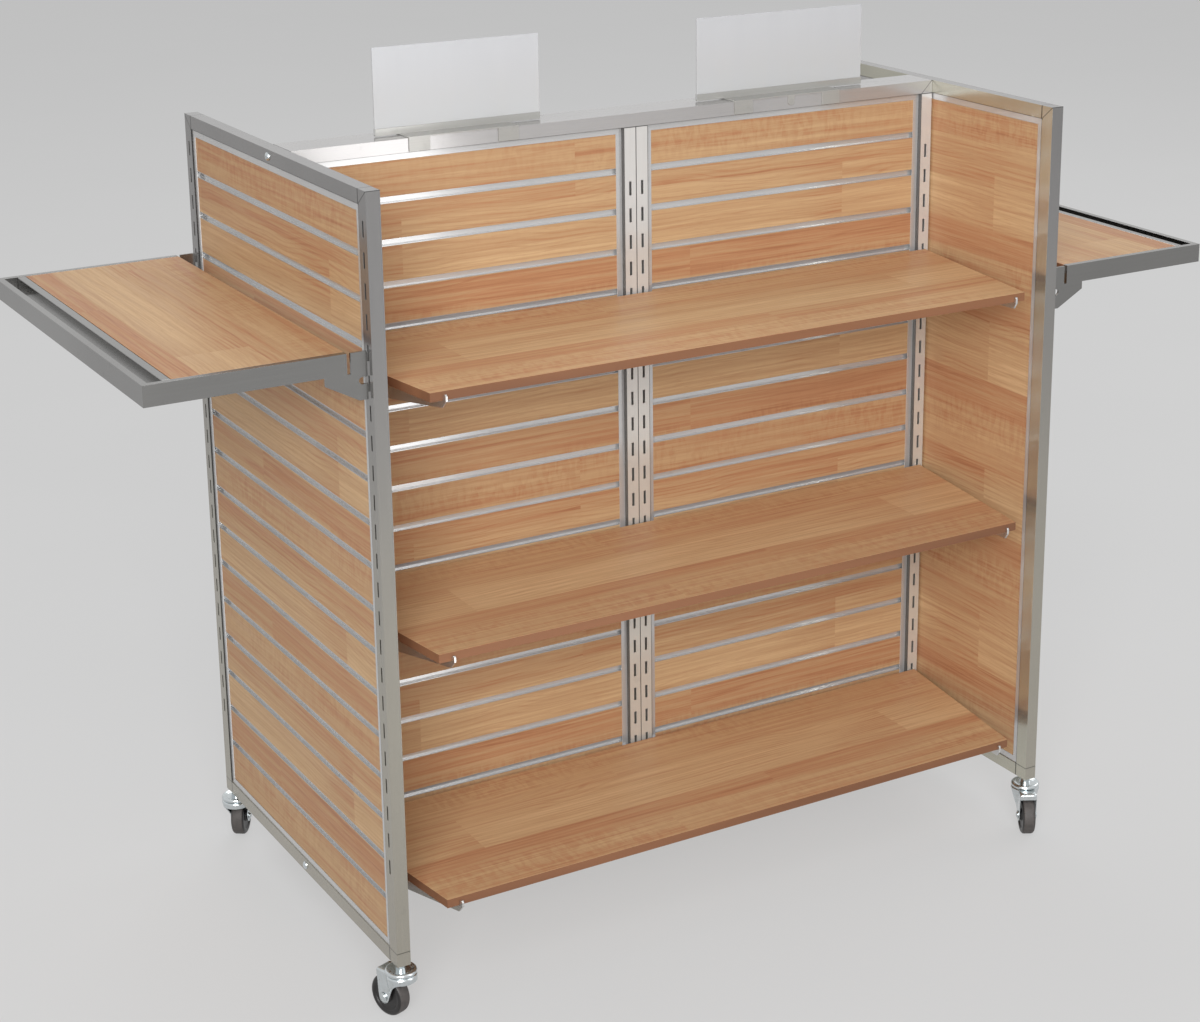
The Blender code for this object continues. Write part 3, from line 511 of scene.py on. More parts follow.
def end_frame_steel():
    """Steel of the end frames: mitred at the top, with uprights standing on the bottom rail."""
    looks = bpy.context.scene.gondola_finishes
    steel = Finish("end_frame_steel")
    place = steel.place()
    axes = steel.axes(place)
    out = steel.calc("ABSOLUTE", axes[1])
    drop = steel.calc("DIVIDE", steel.calc("SUBTRACT", END_HIGH.z, axes[2]), RAIL_HEIGHT)
    inset = steel.calc("DIVIDE", steel.calc("SUBTRACT", END_HIGH.y, out), UPRIGHT_DEPTH)
    top_rail = steel.calc("GREATER_THAN", inset, drop)
    rise = steel.calc("SUBTRACT", axes[2], END_LOW.z + RAIL_HEIGHT)
    rail = steel.calc("MAXIMUM", top_rail, steel.calc("LESS_THAN", rise, 0.0))

    # Painted shade as dark lines in the gaps at the mitres, on the bottom rail and round the trim
    mitre = steel.near(inset, drop, MITRE_LINE)
    mitre = steel.calc("MULTIPLY", mitre, steel.calc("LESS_THAN", drop, 1.0))
    butt = steel.near(rise, 0.0, BUTT_LINE)
    butt = steel.calc("MULTIPLY", butt, steel.calc("LESS_THAN", inset, 1.0))
    side_rim = steel.near(out, END_TRIM_HIGH.y, RIM_LINE)
    rim = steel.calc("MAXIMUM", side_rim, steel.near(axes[2], END_TRIM_HIGH.z, RIM_LINE))
    rim = steel.calc("MULTIPLY", rim, steel.calc("GREATER_THAN", inset, 0.9))
    painted_gap_shade = steel.calc("MAXIMUM", steel.calc("MAXIMUM", mitre, butt), rim)

    # Painted reflection: the faces that look into the bays are made paler and warmer to stand for
    # the lit wood they mirror, not a different plating
    outward = steel.calc("MULTIPLY", steel.facing()[0], steel.calc("SIGN", axes[0]))
    inner = steel.span(outward, -0.5, -0.8)
    cool = steel.mix(inner, tuple(looks.steel), tuple(looks.steel_painted_inner_reflection))
    warm = steel.mix(inner, tuple(looks.steel_warm), tuple(looks.steel_painted_inner_reflection))
    scratches = brushed(steel, place, rail)
    return metal_finish(steel, cool, warm, looks.steel_gloss, END_METALLIC, scratches, painted_gap_shade)


def centre_frame_steel():
    """Steel of the centre frame: mitred at its end posts, with middle posts under the rail."""
    looks = bpy.context.scene.gondola_finishes
    steel = Finish("centre_frame_steel")
    place = steel.place()
    axes = steel.axes(place)
    out = steel.calc("ABSOLUTE", axes[0])
    drop = steel.calc("SUBTRACT", CENTRE_HIGH.z, axes[2])
    inset = steel.calc("SUBTRACT", CENTRE_HIGH.x, out)
    in_rail = steel.calc("LESS_THAN", drop, RAIL_HEIGHT)
    below = steel.calc("SUBTRACT", 1.0, in_rail)
    rail = steel.calc("MULTIPLY", in_rail, steel.calc("GREATER_THAN", inset, drop))

    # Painted shade as dark lines in the gaps at the mitres, under the rail, between the middle
    # posts and along the trim
    mitre = steel.calc("MULTIPLY", steel.near(inset, drop, SEAM_LINE), in_rail)
    butt = steel.near(drop, RAIL_HEIGHT, SEAM_LINE)
    pair = steel.calc("MULTIPLY", steel.near(out, 0.0, SEAM_LINE), below)
    inner_rim = steel.near(out, BAY_TRIM_LOW.x, RIM_LINE)
    rim = steel.calc("MAXIMUM", inner_rim, steel.near(out, BAY_TRIM_HIGH.x, RIM_LINE))
    rim = steel.calc("MULTIPLY", rim, below)
    joints = steel.calc("MAXIMUM", mitre, butt)
    painted_gap_shade = steel.calc("MAXIMUM", joints, steel.calc("MAXIMUM", pair, rim))

    cool = steel.mix(in_rail, tuple(looks.post_steel), tuple(looks.rail_steel))
    warm = tuple(looks.post_warm)
    metallic = steel.span(in_rail, 0.0, 1.0, POST_METALLIC, RAIL_METALLIC)
    scratches = brushed(steel, place, rail)
    return metal_finish(steel, cool, warm, looks.steel_gloss, metallic, scratches, painted_gap_shade)


def plain_steel(name, tint, metallic):
    """Steel of brackets, trays and sign holders, scratched along their length."""
    looks = bpy.context.scene.gondola_finishes
    steel = Finish(name)
    scratches = brushed(steel, steel.place(), 1.0)
    return metal_finish(steel, tuple(tint), tuple(tint), looks.steel_gloss, metallic, scratches)


def trim_metal(name, run):
    """Aluminium of rim trim and groove inserts, dull on the sawn faces at the inserts' ends."""
    looks = bpy.context.scene.gondola_finishes
    trim = Finish(name)
    tint = tuple(looks.trim)
    sawn = trim.calc("ABSOLUTE", trim.facing()[AXIS[run]])
    metallic = trim.span(sawn, 0.5, 0.8, TRIM_METALLIC, 0.0)
    scratches = brushed(trim, trim.place(), 1.0)
    return metal_finish(trim, tint, tint, looks.trim_gloss, metallic, scratches)


# Tints of the film and grime on the zinc
ZINC_FILM = (0.52, 0.55, 0.53)
ZINC_GRIME = (0.22, 0.2, 0.17)


def zinc_plating():
    """Bright zinc with a faint cloudy film."""
    looks = bpy.context.scene.gondola_finishes
    zinc = Finish("zinc_plating")
    place = zinc.place()
    film = zinc.noise(zinc.stretch(place, (70.0, 70.0, 70.0)), detail=4.0, roughness=0.6)
    grime = zinc.noise(zinc.stretch(place, (260.0, 260.0, 260.0)), detail=3.0)
    base = zinc.mix(zinc.span(film, 0.35, 0.7, 0.0, 0.35), tuple(looks.zinc), ZINC_FILM)
    base = zinc.mix(zinc.span(grime, 0.6, 0.8, 0.0, 0.5), base, ZINC_GRIME)
    zinc.bump(grime, 0.00003)
    return zinc.done(base, zinc.span(film, 0.3, 0.7, 0.16, 0.25), metallic=1.0)


def wheel_rubber(radius):
    """Black moulded wheel, grey-brown where it runs on the floor."""
    looks = bpy.context.scene.gondola_finishes
    rubber = Finish("wheel_rubber")
    place = rubber.place()
    reach = rubber.add("ShaderNodeAttribute", {}, attribute_name=REACH).outputs["Fac"]
    scuffs = rubber.stretch(place, (120.0, 120.0, 120.0))
    scuffs = rubber.noise(scuffs, detail=4.0, roughness=0.65)
    grain = rubber.noise(rubber.stretch(place, (900.0, 900.0, 900.0)), detail=1.0)
    running = rubber.span(reach, radius - 0.0022, radius - 0.0006)
    worn = rubber.calc("MULTIPLY", running, rubber.span(scuffs, 0.2, 0.6, 0.45, 1.0))
    dust = rubber.calc("MAXIMUM", worn, rubber.span(scuffs, 0.55, 0.8, 0.0, 0.12))
    base = rubber.mix(dust, tuple(looks.rubber), tuple(looks.tread))
    rubber.bump(grain, 0.00005)
    return rubber.done(base, rubber.span(dust, 0.0, 1.0, 0.36, 0.62))


def sign_plastic():
    """Pale plate with a fine moulded surface and faint upright banding."""
    looks = bpy.context.scene.gondola_finishes
    sign = Finish("sign_plastic")
    place = sign.place()
    bands = sign.noise(sign.stretch(place, (26.0, 26.0, 0.6)), detail=2.0)
    haze = sign.noise(sign.stretch(place, (5.0, 5.0, 7.0)), detail=3.0)
    grain = sign.noise(sign.stretch(place, (1400.0, 1400.0, 1400.0)), detail=1.0)
    tint = tuple(looks.sign)
    warm = (tint[0] * 0.95, tint[0] * 0.95, tint[0] * 0.95)
    banded = tuple(value * 0.94 for value in tint)
    # Darker and greyer towards the bottom of the plate
    rise = sign.span(sign.axes(place)[2], SIGN_LOW.z, SIGN_HIGH.z, 0.0, 1.0)
    base = sign.mix(rise, warm, tint)
    base = sign.mix(sign.span(bands, 0.3, 0.7, 0.0, 0.3), base, banded)
    sign.bump(grain, 0.00003)
    return sign.done(base, sign.span(haze, 0.3, 0.7, 0.3, 0.42))


# Angles in degrees: below the first a face counts as flat, above the second an edge is rounded,
# and above the third an edge of a turned or pressed piece stays sharp
FLAT_ANGLE = 0.5
EDGE_ANGLE = 35
SHARP_ANGLE = 38
WELD_REACH = 0.00001


def soften(node, width):
    """Round a solid's sharp edges on top of its mesh, which stays as it is."""
    weld = node.modifiers.new("Weld", "WELD")
    weld.merge_threshold = WELD_REACH
    flats = node.modifiers.new("Flats", "DECIMATE")
    flats.decimate_type = "DISSOLVE"
    flats.angle_limit = math.radians(FLAT_ANGLE)
    edge = node.modifiers.new("Edge", "BEVEL")
    edge.limit_method = "ANGLE"
    edge.angle_limit = math.radians(EDGE_ANGLE)
    edge.width = width
    edge.segments = 2
    edge.use_clamp_overlap = True
    edge.harden_normals = True


def dress(name, material, width=0.0):
    """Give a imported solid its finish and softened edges."""
    node = frame["nodes"][name]
    node.data.materials.clear()
    node.data.materials.append(material)
    if width:
        soften(node, width)


def turned(bm, profile, sides, place):
    """Turn a profile of (radius, height) points; place(a, b, height) gives each position."""
    rings = []
    for radius, height in profile:
        count = sides if radius else 1
        turns = [2 * math.pi * index / sides for index in range(count)]
        spots = [place(radius * math.cos(t), radius * math.sin(t), height) for t in turns]
        rings.append([bm.verts.new(spot) for spot in spots])
    pairs = list(zip(rings, rings[1:]))
    if profile[0][0]:
        pairs.append((rings[-1], rings[0]))
    for upper, lower in pairs:
        for index in range(sides):
            corners = [upper[index % len(upper)], upper[(index + 1) % len(upper)]]
            corners += [lower[(index + 1) % len(lower)], lower[index % len(lower)]]
            bm.faces.new(list(dict.fromkeys(corners)))


def rounded(centre, radius, start, end, steps):
    """Profile points on an arc between two angles in degrees."""
    turns = [math.radians(start + (end - start) * step / steps) for step in range(steps + 1)]
    return [(centre[0] + radius * math.cos(t), centre[1] + radius * math.sin(t)) for t in turns]


def piece(name, bm, material, placing, body, slot, *nodes):
    """A finished mesh, placed by its vertices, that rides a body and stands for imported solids."""
    bmesh.ops.recalc_face_normals(bm, faces=bm.faces[:])
    bm.transform(placing)
    mesh = bpy.data.meshes.new(name)
    bm.to_mesh(mesh)
    bm.free()
    mesh.shade_smooth()
    mesh.set_sharp_from_angle(angle=math.radians(SHARP_ANGLE))
    mesh.materials.append(material)
    made = bpy.data.objects.new(name, mesh)
    bpy.context.scene.collection.objects.link(made)
    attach(made, body)
    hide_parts(*nodes)
    return made


class GONDOLA_OT_frames(bpy.types.Operator):
    """Finish the two end frames and the centre frame"""

    bl_idname = "gondola.frames"
    bl_label = "Frames"

    def execute(self, context):
        edge = context.scene.gondola_sizes.tube_edge
        steel = end_frame_steel()
        for side in SIDES:
            dress(f"{side}_end_frame", steel, edge)
        dress("centre_frame", centre_frame_steel(), edge)
        return {"FINISHED"}


class GONDOLA_OT_panels(bpy.types.Operator):
    """Finish the slat panels with their rim trim and groove inserts"""

    bl_idname = "gondola.panels"
    bl_label = "Slat panels"

    def execute(self, context):
        bay_trim = trim_metal("bay_trim", "X")
        end_trim = trim_metal("end_trim", "Y")
        top = PANEL_HIGH.z
        bay_wood = wood_finish("bay_panel_wood", "X", "Z", top, BAY_JOINT, BAY_PAINTED_LIGHT)
        end_wood = wood_finish("end_panel_wood", "Y", "Z", top, END_JOINT, END_PAINTED_LIGHT)
        for prefix in CORNERS:
            dress(f"{prefix}_panel", bay_wood)
            dress(f"{prefix}_edging", bay_trim)
        for side in SIDES:
            dress(f"{side}_end_panel", end_wood)
            dress(f"{side}_end_edging", end_trim)
        return {"FINISHED"}


class GONDOLA_OT_shelves(bpy.types.Operator):
    """Finish the shelf boards and their brackets"""

    bl_idname = "gondola.shelves"
    bl_label = "Shelves"

    def execute(self, context):
        looks = context.scene.gondola_finishes
        sizes = context.scene.gondola_sizes
        back = -SHELF_HIGH.y
        wood = wood_finish("shelf_wood", "X", "Y", back, BAY_JOINT, SHELF_PAINTED_LIGHT, True, True)
        steel = plain_steel("bracket_steel", looks.post_steel, BRACKET_METALLIC)
        for face in FACES:
            for level in LEVELS:
                dress(f"{face}_shelf_{level}", wood, sizes.board_edge)
                for side in SIDES:
                    dress(f"{face}_shelf_{level}_{side}_bracket", steel, sizes.plate_edge)
        return {"FINISHED"}


class GONDOLA_OT_trays(bpy.types.Operator):
    """Finish the end trays and their boards"""

    bl_idname = "gondola.trays"
    bl_label = "End trays"

    def execute(self, context):
        looks = context.scene.gondola_finishes
        sizes = context.scene.gondola_sizes
        back = TRAY_BOARD_LOW.x
        wood = wood_finish("tray_wood", "Y", "X", back, TRAY_JOINT, TRAY_PAINTED_LIGHT, True, True)
        steel = plain_steel("tray_steel", looks.tray_steel, TRAY_METALLIC)
        for side in SIDES:
            dress(f"{side}_tray_frame", steel, sizes.tray_edge)
            dress(f"{side}_tray_inner_bar", steel, sizes.tray_edge)
            dress(f"{side}_tray_board", wood, sizes.board_edge)
        return {"FINISHED"}


class GONDOLA_OT_signs(bpy.types.Operator):
    """Finish the sign plates and their holders"""

    bl_idname = "gondola.signs"
    bl_label = "Signs"

    def execute(self, context):
        looks = context.scene.gondola_finishes
        sizes = context.scene.gondola_sizes
        steel = plain_steel("holder_steel", looks.holder_steel, HOLDER_METALLIC)
        plastic = sign_plastic()
        for side in SIDES:
            dress(f"{side}_sign_holder", steel, sizes.plate_edge)
            dress(f"{side}_sign_plate", plastic, sizes.plate_edge)
        return {"FINISHED"}


class GONDOLA_OT_bolts(bpy.types.Operator):
    """Turn the domed bolts that join the frames"""

    bl_idname = "gondola.bolts"
    bl_label = "Bolts"

    def execute(self, context):
        zinc = zinc_plating()
        for side in SIDES:
            for level in ("top", "bottom"):
                node = f"{side}_{level}_bolt"
                low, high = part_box(node)
                outward = 1 if side == "right" else -1
                build_bolt(f"{node}_turned", node, low, high, outward, zinc)
        return {"FINISHED"}


# Shape of the bolts, as shares: the head's straight edge of its height, the shank of its radius
BOLT_EDGE = 0.12
BOLT_SHANK = 0.53
BOLT_STEPS = 8


def build_bolt(name, node, low, high, side, material):
    """A plain domed head on a shank into the centre frame."""
    head = (high.z - low.z) / 2
    reach = high.x - low.x
    crown = BOLT_HIGH.x - END_HIGH.x
    seat = reach - crown
    profile = []
    for step in range(BOLT_STEPS + 1):
        turn = math.radians(90 * step / BOLT_STEPS)
        rise = BOLT_EDGE + (1 - BOLT_EDGE) * math.cos(turn)
        profile.append((head * math.sin(turn), seat + crown * rise))
    shank = head * BOLT_SHANK
    profile += [(head, seat), (shank, seat), (shank, 0.0), (0.0, 0.0)]
    bm = bmesh.new()
    turned(bm, profile, 40, lambda a, b, height: (side * height, a, b))
    foot = low.x if side > 0 else high.x
    placing = Matrix.Translation((foot, (low.y + high.y) / 2, (low.z + high.z) / 2))
    piece(name, bm, material, placing, "frame", "bright_zinc", node)


class GONDOLA_OT_castors(bpy.types.Operator):
    """Build the swivel castors: stem and race, pressed fork with axle, moulded wheel"""

    bl_idname = "gondola.castors"
    bl_label = "Castors"

    def execute(self, context):
        zinc = zinc_plating()
        spins = {joint["name"]: joint for joint in frame["joints"]}
        rubber = None
        for corner in CORNERS:
            low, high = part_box(f"{corner}_castor_stem")
            axis = Vector(((low.x + high.x) / 2, (low.y + high.y) / 2, 0.0))
            hub = Vector(spins[f"{corner}_wheel_spin"]["pos_m"])
            trail = Vector((hub.x - axis.x, hub.y - axis.y))
            turn = math.atan2(trail.y, trail.x)
            placing = Matrix.Translation(axis) @ Matrix.Rotation(turn, 4, "Z")
            at_hub = placing @ Matrix.Translation((trail.length, 0.0, hub.z))
            rubber = rubber or wheel_rubber(hub.z)
            build_stem(corner, placing, low.z, high.z, zinc)
            build_fork(corner, placing, trail.length, hub.z, zinc)
            build_wheel(corner, at_hub, hub.z, rubber)
        return {"FINISHED"}


# Heights and radii of the castor's stem and race
RIVET_RADIUS = 0.009
CROWN_BOTTOM = 0.0823
CROWN_TOP = 0.0883
RACE_BOTTOM = 0.0886
RACE_TOP = 0.0966
RACE_RADIUS = 0.028
RACE_ROLL = 0.0042
DISH_DEPTH = 0.0028
DISH_SLOPE = ((0.0165, 0.0), (0.019, 0.0008))
COLLAR_RADIUS = 0.009
COLLAR_TOP = 0.1066
STEM_RADIUS = 0.0055
CHAMFER = 0.001
RUNNING_GAP = 0.0003

# Fork, from the stem's axis towards the wheel
FORK_FRONT = -0.020
FORK_NECK = 0.023
FORK_BACK = 0.046
FORK_CORNER = 0.004
FORK_HEEL = 0.0035
FORK_HALF = 0.017
FORK_LAP = 0.0005
FORK_FOOT = 0.012
FORK_SKIRT = 0.0765
FRONT_SWEEP = 1.9
HEEL_SWEEP = 0.6
FLARE_FALL = 1.15
CROWN_STEPS = 5
LEG_STEPS = 10

# Axle with its washers and domed heads
AXLE_RADIUS = 0.004
AXLE_PROUD = 0.0006
WASHER_RADIUS = 0.0085
WASHER_SHEET = 0.0008
HEAD_RADIUS = 0.0064
HEAD_CROWN = 0.42

# Wheel, with the recess between its hub boss and its tyre
WHEEL_HALF = 0.0125
TYRE_DEPTH = 0.010
BOSS_RADIUS = 0.0115
BOSS_PROUD = 0.0012
BOSS_EDGE = 0.0004
WEB_DEPTH = 0.0022
RIM_SLOPE = 0.0015
RIM_EDGE = 0.0006


def upright(a, b, height):
    """Turned about Z."""
    return (a, b, height)


def build_stem(corner, placing, bottom, top, material):
    """Stem, collar, dished race with a rolled rim, and the king rivet under the crown."""
    rim = RACE_RADIUS - RACE_ROLL
    dish = RACE_TOP - DISH_DEPTH
    rivet_top = CROWN_BOTTOM - RUNNING_GAP
    profile = [
        (0.0, top),
        (STEM_RADIUS - CHAMFER, top),
        (STEM_RADIUS, top - CHAMFER),
        (STEM_RADIUS, COLLAR_TOP),
        (COLLAR_RADIUS - CHAMFER, COLLAR_TOP),
        (COLLAR_RADIUS, COLLAR_TOP - CHAMFER),
        (COLLAR_RADIUS, dish),
    ]
    profile += [(radius, dish + rise) for radius, rise in DISH_SLOPE]
    profile += rounded((rim, RACE_TOP - RACE_ROLL), RACE_ROLL, 110, -70, 10)
    profile += [
        (rim, RACE_BOTTOM),
        (AXLE_RADIUS, RACE_BOTTOM),
        (AXLE_RADIUS, rivet_top),
        (RIVET_RADIUS, rivet_top),
        (RIVET_RADIUS, bottom + CHAMFER),
        (RIVET_RADIUS - CHAMFER, bottom),
        (0.0, bottom),
    ]
    bm = bmesh.new()
    turned(bm, profile, 48, upright)
    node = f"{corner}_castor_stem"
    piece(f"{corner}_stem_turned", bm, material, placing, "frame", "bright_zinc", node)


def fork_plan():
    """Half of the fork's plan at the crown, from the front to the middle of the trailing edge."""
    turns = [math.radians(6 * step) for step in range(17)]
    front = [(-RACE_RADIUS * math.cos(t), RACE_RADIUS * math.sin(t)) for t in turns]
    start = front[-1]
    side = []
    for step in range(1, 13):
        along = step / 12
        ease = along * along * (3 - 2 * along)
        x = start[0] + (FORK_NECK - start[0]) * along
        side.append((x, start[1] + (FORK_HALF - start[1]) * ease))
    heel = FORK_BACK - FORK_CORNER
    inside = FORK_HALF - FORK_CORNER
    flat = [(FORK_NECK + (heel - FORK_NECK) * step / 10, FORK_HALF) for step in range(1, 11)]
    corner = rounded((heel, inside), FORK_CORNER, 80, 0, 4)
    end = [(FORK_BACK, inside * (1 - step / 4)) for step in range(1, 5)]
    return front + side + flat + corner + end


def leg_bottom(x, y, trail, axle):
    """Lower edge of the fork: a skirt in front, swept down to a round foot, upright behind."""
    lead, heel = trail - FORK_FOOT, trail + FORK_FOOT
    if x >= lead and y >= FORK_HALF - FORK_LAP:
        if x <= heel:
            return axle - math.sqrt(max(FORK_FOOT**2 - (x - trail) ** 2, 0.0))
        rise = (x - heel) / (FORK_BACK - FORK_HEEL - heel)
        return axle + (FORK_SKIRT - axle) * min(max(rise, 0.0), 1.0) ** HEEL_SWEEP
    if x < lead:
        fall = min(max((x - FORK_FRONT) / (lead - FORK_FRONT), 0.0), 1.0)
        return FORK_SKIRT + (axle - FORK_SKIRT) * fall**FRONT_SWEEP
    return FORK_SKIRT


def build_fork(corner, placing, trail, axle, material):
    """Pressed fork: a rounded crown over legs that flare out to the race, and its axle."""
    sizes = bpy.context.scene.gondola_sizes
    radius = sizes.fork_round
    shoulder = CROWN_TOP - radius
    plan = fork_plan()
    loop = plan + [(x, -y) for x, y in reversed(plan[1:-1])]
    centre = [(min(max(x, 0.0), trail), 0.0) for x, y in loop]

    def inward(point, spine, distance):
        away = Vector((point[0] - spine[0], point[1] - spine[1]))
        return Vector(point) - away.normalized() * min(distance, away.length * 0.9)

    bm = bmesh.new()
    rows = []
    for step in range(CROWN_STEPS, 0, -1):
        turn = math.radians(90 * step / CROWN_STEPS)
        inset = radius * (1 - math.cos(turn))
        height = shoulder + radius * math.sin(turn)
        rows.append([bm.verts.new((*inward(p, c, inset), height)) for p, c in zip(loop, centre)])
    for step in range(LEG_STEPS + 1):
        row = []
        for x, y in loop:
            wide = abs(y)
            bottom = leg_bottom(x, wide, trail, axle)
            height = shoulder + (bottom - shoulder) * step / LEG_STEPS
            if x > FORK_FRONT:
                fall = (shoulder - height) / (shoulder - axle)
                wide -= max(wide - FORK_HALF, 0.0) * min(max(fall * FLARE_FALL, 0.0), 1.0)
            row.append(bm.verts.new((x, math.copysign(wide, y) if y else 0.0, height)))
        rows.append(row)
    for upper, lower in zip(rows, rows[1:]):
        for index in range(len(loop)):
            beyond = (index + 1) % len(loop)
            bm.faces.new((upper[index], upper[beyond], lower[beyond], lower[index]))
    bm.faces.new(rows[0])
    body = f"{corner}_castor_fork"
    fork = piece(f"{corner}_fork_pressed", bm, material, placing, body, "bright_zinc", body)
    sheet = fork.modifiers.new("Sheet", "SOLIDIFY")
    sheet.thickness = sizes.fork_sheet
    sheet.offset = -1.0

    axle_bm = bmesh.new()
    half = FORK_HALF + AXLE_PROUD
    seat = half + WASHER_SHEET
    washer = [(WASHER_RADIUS, half), (WASHER_RADIUS, seat), (HEAD_RADIUS, seat)]
    dome = rounded((0.0, seat), HEAD_RADIUS, 0, 90, 6)
    head = [(r, seat + (h - seat) * HEAD_CROWN) for r, h in dome[1:-1]]
    outer = [(0.0, seat + HEAD_RADIUS * HEAD_CROWN), *reversed(head), *reversed(washer)]
    shaft = [(AXLE_RADIUS, half), (AXLE_RADIUS, -half)]
    profile = outer + shaft + [(r, -h) for r, h in reversed(outer)]
    turned(axle_bm, profile, 32, lambda a, b, height: (trail + a, height, axle + b))
    piece(f"{corner}_axle_turned", axle_bm, material, placing, body, "bright_zinc")


def build_wheel(corner, placing, radius, material):
    """Moulded wheel with rounded shoulders, a recessed web and a hub boss."""
    round_off = bpy.context.scene.gondola_sizes.shoulder
    half = WHEEL_HALF
    rim = radius - TYRE_DEPTH
    web = half - WEB_DEPTH
    side = [
        (AXLE_RADIUS + RUNNING_GAP, half + BOSS_PROUD),
        (BOSS_RADIUS - CHAMFER, half + BOSS_PROUD),
        (BOSS_RADIUS, half + BOSS_EDGE),
        (BOSS_RADIUS + CHAMFER, web),
        (rim - RIM_SLOPE, web),
        (rim, half - RIM_EDGE),
        (rim + CHAMFER, half),
    ]
    side += rounded((radius - round_off, half - round_off), round_off, 90, 0, 6)
    profile = side + [(r, -h) for r, h in reversed(side)]
    bm = bmesh.new()
    turned(bm, profile, 64, lambda a, b, height: (a, height, b))
    reach = bm.verts.layers.float.new(REACH)
    for vert in bm.verts:
        vert[reach] = math.hypot(vert.co.x, vert.co.z)
    body = f"{corner}_castor_wheel"
    piece(f"{corner}_wheel_moulded", bm, material, placing, body, "dark_rubber", body)


# Where the lamps stand, what they point at, and their width and height
LAMP_SPOTS = {
    "key": (-3.87, -6.54, 3.49),
    "top": (-2.96, -5.03, 6.31),
    "back": (2.08, 4.36, 7.05),
    "side": (6.82, 1.10, 4.75),
}
LAMP_AIM = (0.0, -0.1, 0.75)
LAMP_SIZE = (4.0, 3.0)
STRIP_SPOT = (-0.14, -0.9, 0.85)
STRIP_AIM = (-0.14, 0.0, 0.85)
STRIP_SIZE = (0.32, 1.7)
SENSOR_WIDTH = 36.0


class GONDOLA_OT_stage(bpy.types.Operator):
    """Lay the floor, set the light and stand the camera where the photograph was taken"""

    bl_idname = "gondola.stage"
    bl_label = "Stage"

    def execute(self, context):
        stage = context.scene.gondola_stage
        lay_floor(stage)
        light_world(context.scene, stage)
        for name, spot in LAMP_SPOTS.items():
            add_lamp(f"{name}_lamp", getattr(stage, name), spot, LAMP_AIM, LAMP_SIZE)
        strip = add_lamp("strip_lamp", stage.strip, STRIP_SPOT, STRIP_AIM, STRIP_SIZE)
        strip.visible_diffuse = False
        stand_camera(context.scene, stage)
        context.scene.view_settings.view_transform = "Standard"
        return {"FINISHED"}


def lay_floor(stage):
    """A wide round floor in a pale matt finish, with some of the backdrop's tone where seen."""
    bm = bmesh.new()
    bmesh.ops.create_circle(bm, cap_ends=True, segments=96, radius=stage.floor_reach)
    mesh = bpy.data.meshes.new("floor")
    bm.to_mesh(mesh)
    bm.free()
    paint = Finish("floor_paint")
    cloud = paint.noise(paint.stretch(paint.place(), (1.3, 1.3, 1.3)), detail=3.0)
    pale = tuple(stage.floor)
    base = paint.mix(paint.span(cloud, 0.3, 0.7), pale, tuple(value * 0.975 for value in pale))
    paint.done(base, 0.8)
    paint.shader.inputs["Specular IOR Level"].default_value = 0.0
    tone = (stage.backdrop, stage.backdrop, stage.backdrop)
    glow = paint.add("ShaderNodeEmission", {"Color": tone}).outputs[0]
    amount = paint.calc("MULTIPLY", seen(paint), stage.haze)
    inputs = {0: amount, 1: paint.shader.outputs[0], 2: glow}
    blend = paint.add("ShaderNodeMixShader", inputs).outputs[0]
    paint.feed(paint.tree.nodes["Material Output"].inputs["Surface"], blend)
    mesh.materials.append(paint.material)
    floor = bpy.data.objects.new("floor", mesh)
    bpy.context.scene.collection.objects.link(floor)


def seen(nodes):
    """1 where the surroundings are looked at, also in shiny or clear pieces, 0 for their light."""
    path = nodes.add("ShaderNodeLightPath", {}).outputs
    mirrored = nodes.calc("MAXIMUM", path["Is Glossy Ray"], path["Is Transmission Ray"])
    return nodes.calc("MAXIMUM", path["Is Camera Ray"], mirrored)


def light_world(scene, stage):
    """Even light from all round, and a pale backdrop where it is seen."""
    world = bpy.data.worlds.new("studio")
    scene.world = world
    world.use_nodes = True
    sky = Nodes(world.node_tree)
    strength = sky.span(seen(sky), 0.0, 1.0, stage.sky, stage.backdrop)
    background = sky.tree.nodes["Background"]
    sky.feed(background.inputs["Color"], (1.0, 1.0, 1.0))
    sky.feed(background.inputs["Strength"], strength)


def add_lamp(name, power_set, spot, aim, size):
    """A soft lamp that points at the unit."""
    lamp = bpy.data.lights.new(name, "AREA")
    lamp.energy = power_set
    lamp.shape = "RECTANGLE"
    lamp.size, lamp.size_y = size
    made = bpy.data.objects.new(name, lamp)
    bpy.context.scene.collection.objects.link(made)
    made.location = spot
    made.rotation_euler = (Vector(aim) - Vector(spot)).to_track_quat("-Z", "Y").to_euler()
    made.visible_camera = False
    return made


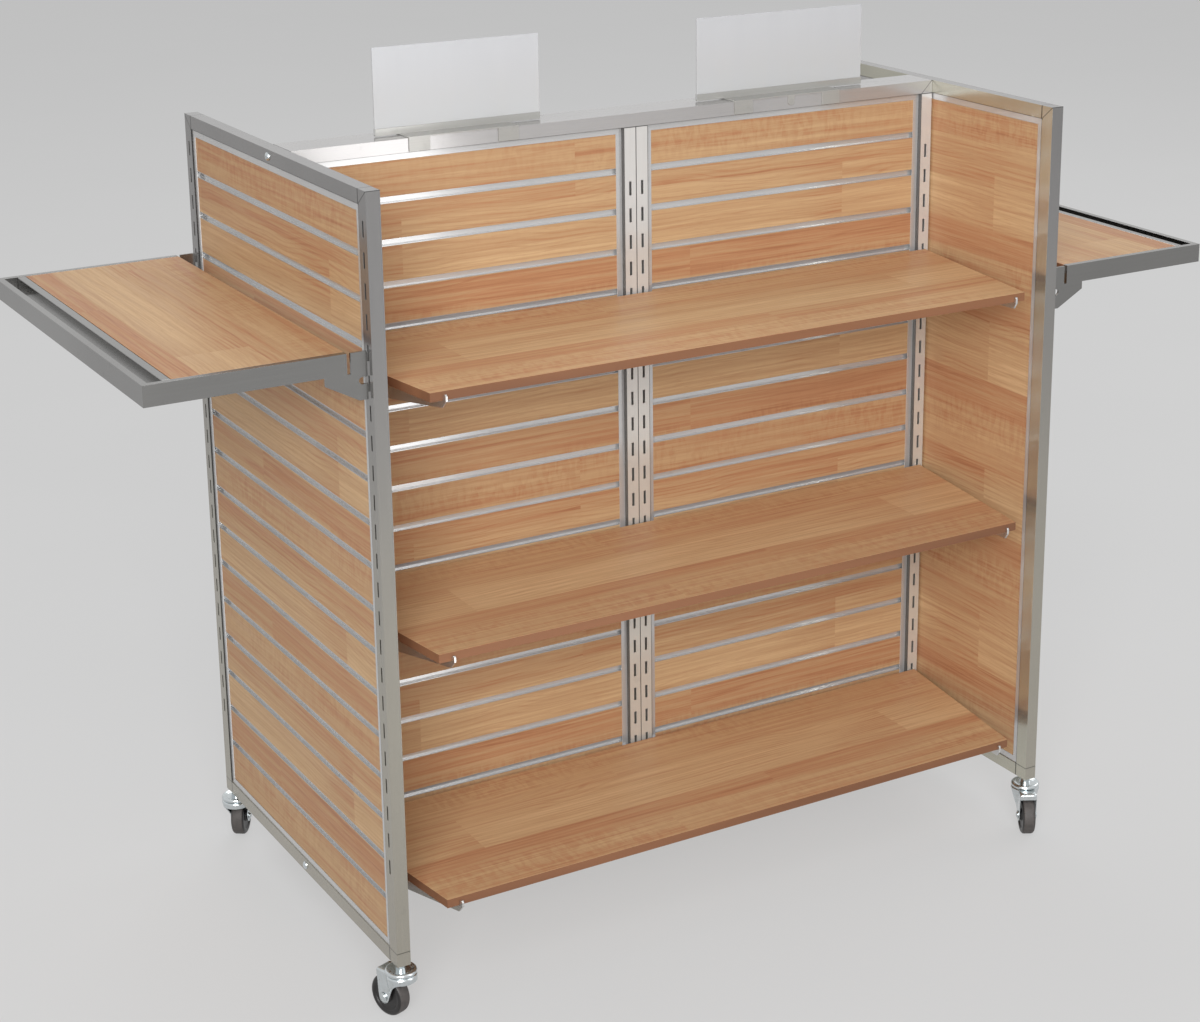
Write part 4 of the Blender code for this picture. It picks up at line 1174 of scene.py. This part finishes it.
def stand_camera(scene, stage):
    """The camera at the photograph's angle."""
    lens = bpy.data.cameras.new("camera")
    lens.sensor_width = SENSOR_WIDTH
    lens.sensor_fit = "HORIZONTAL"
    lens.lens = stage.focal
    lens.shift_x, lens.shift_y = stage.shift
    camera = bpy.data.objects.new("camera", lens)
    scene.collection.objects.link(camera)
    turn = Matrix.Rotation(-stage.azimuth, 4, "Z")
    turn = turn @ Matrix.Rotation(math.pi / 2 - stage.pitch, 4, "X")
    turn = turn @ Matrix.Rotation(stage.roll, 4, "Z")
    camera.matrix_world = Matrix.Translation(stage.spot) @ turn
    scene.camera = camera


class GONDOLA_PT_sidebar(bpy.types.Panel):
    """Lists the steps and the values that they use"""

    bl_idname = "GONDOLA_PT_sidebar"
    bl_label = "Gondola shelving"
    bl_space_type = "VIEW_3D"
    bl_region_type = "UI"
    bl_category = "Shelving"

    def draw(self, context):
        for step in STEPS:
            self.layout.operator(step.bl_idname)
        for key, group in GROUPS.items():
            box = self.layout.box()
            for name in group.__annotations__:
                box.prop(getattr(context.scene, key), name)


GROUPS = {
    "gondola_finishes": GONDOLA_finishes,
    "gondola_sizes": GONDOLA_sizes,
    "gondola_stage": GONDOLA_stage,
}
STEPS = (
    GONDOLA_OT_frames,
    GONDOLA_OT_panels,
    GONDOLA_OT_shelves,
    GONDOLA_OT_trays,
    GONDOLA_OT_signs,
    GONDOLA_OT_bolts,
    GONDOLA_OT_castors,
    GONDOLA_OT_stage,
)


def register():
    """Add the values, the steps and the sidebar panel to Blender."""
    for key, group in GROUPS.items():
        bpy.utils.register_class(group)
        setattr(bpy.types.Scene, key, PointerProperty(type=group))
    for step in STEPS:
        bpy.utils.register_class(step)
    bpy.utils.register_class(GONDOLA_PT_sidebar)


def unregister():
    """Take them out again."""
    bpy.utils.unregister_class(GONDOLA_PT_sidebar)
    for step in reversed(STEPS):
        bpy.utils.unregister_class(step)
    for key, group in GROUPS.items():
        delattr(bpy.types.Scene, key)
        bpy.utils.unregister_class(group)


def main():
    """Register the add-on and run its steps in order."""
    register()
    for step in STEPS:
        family, action = step.bl_idname.split(".")
        getattr(getattr(bpy.ops, family), action)()


if __name__ == "__main__":
    main()
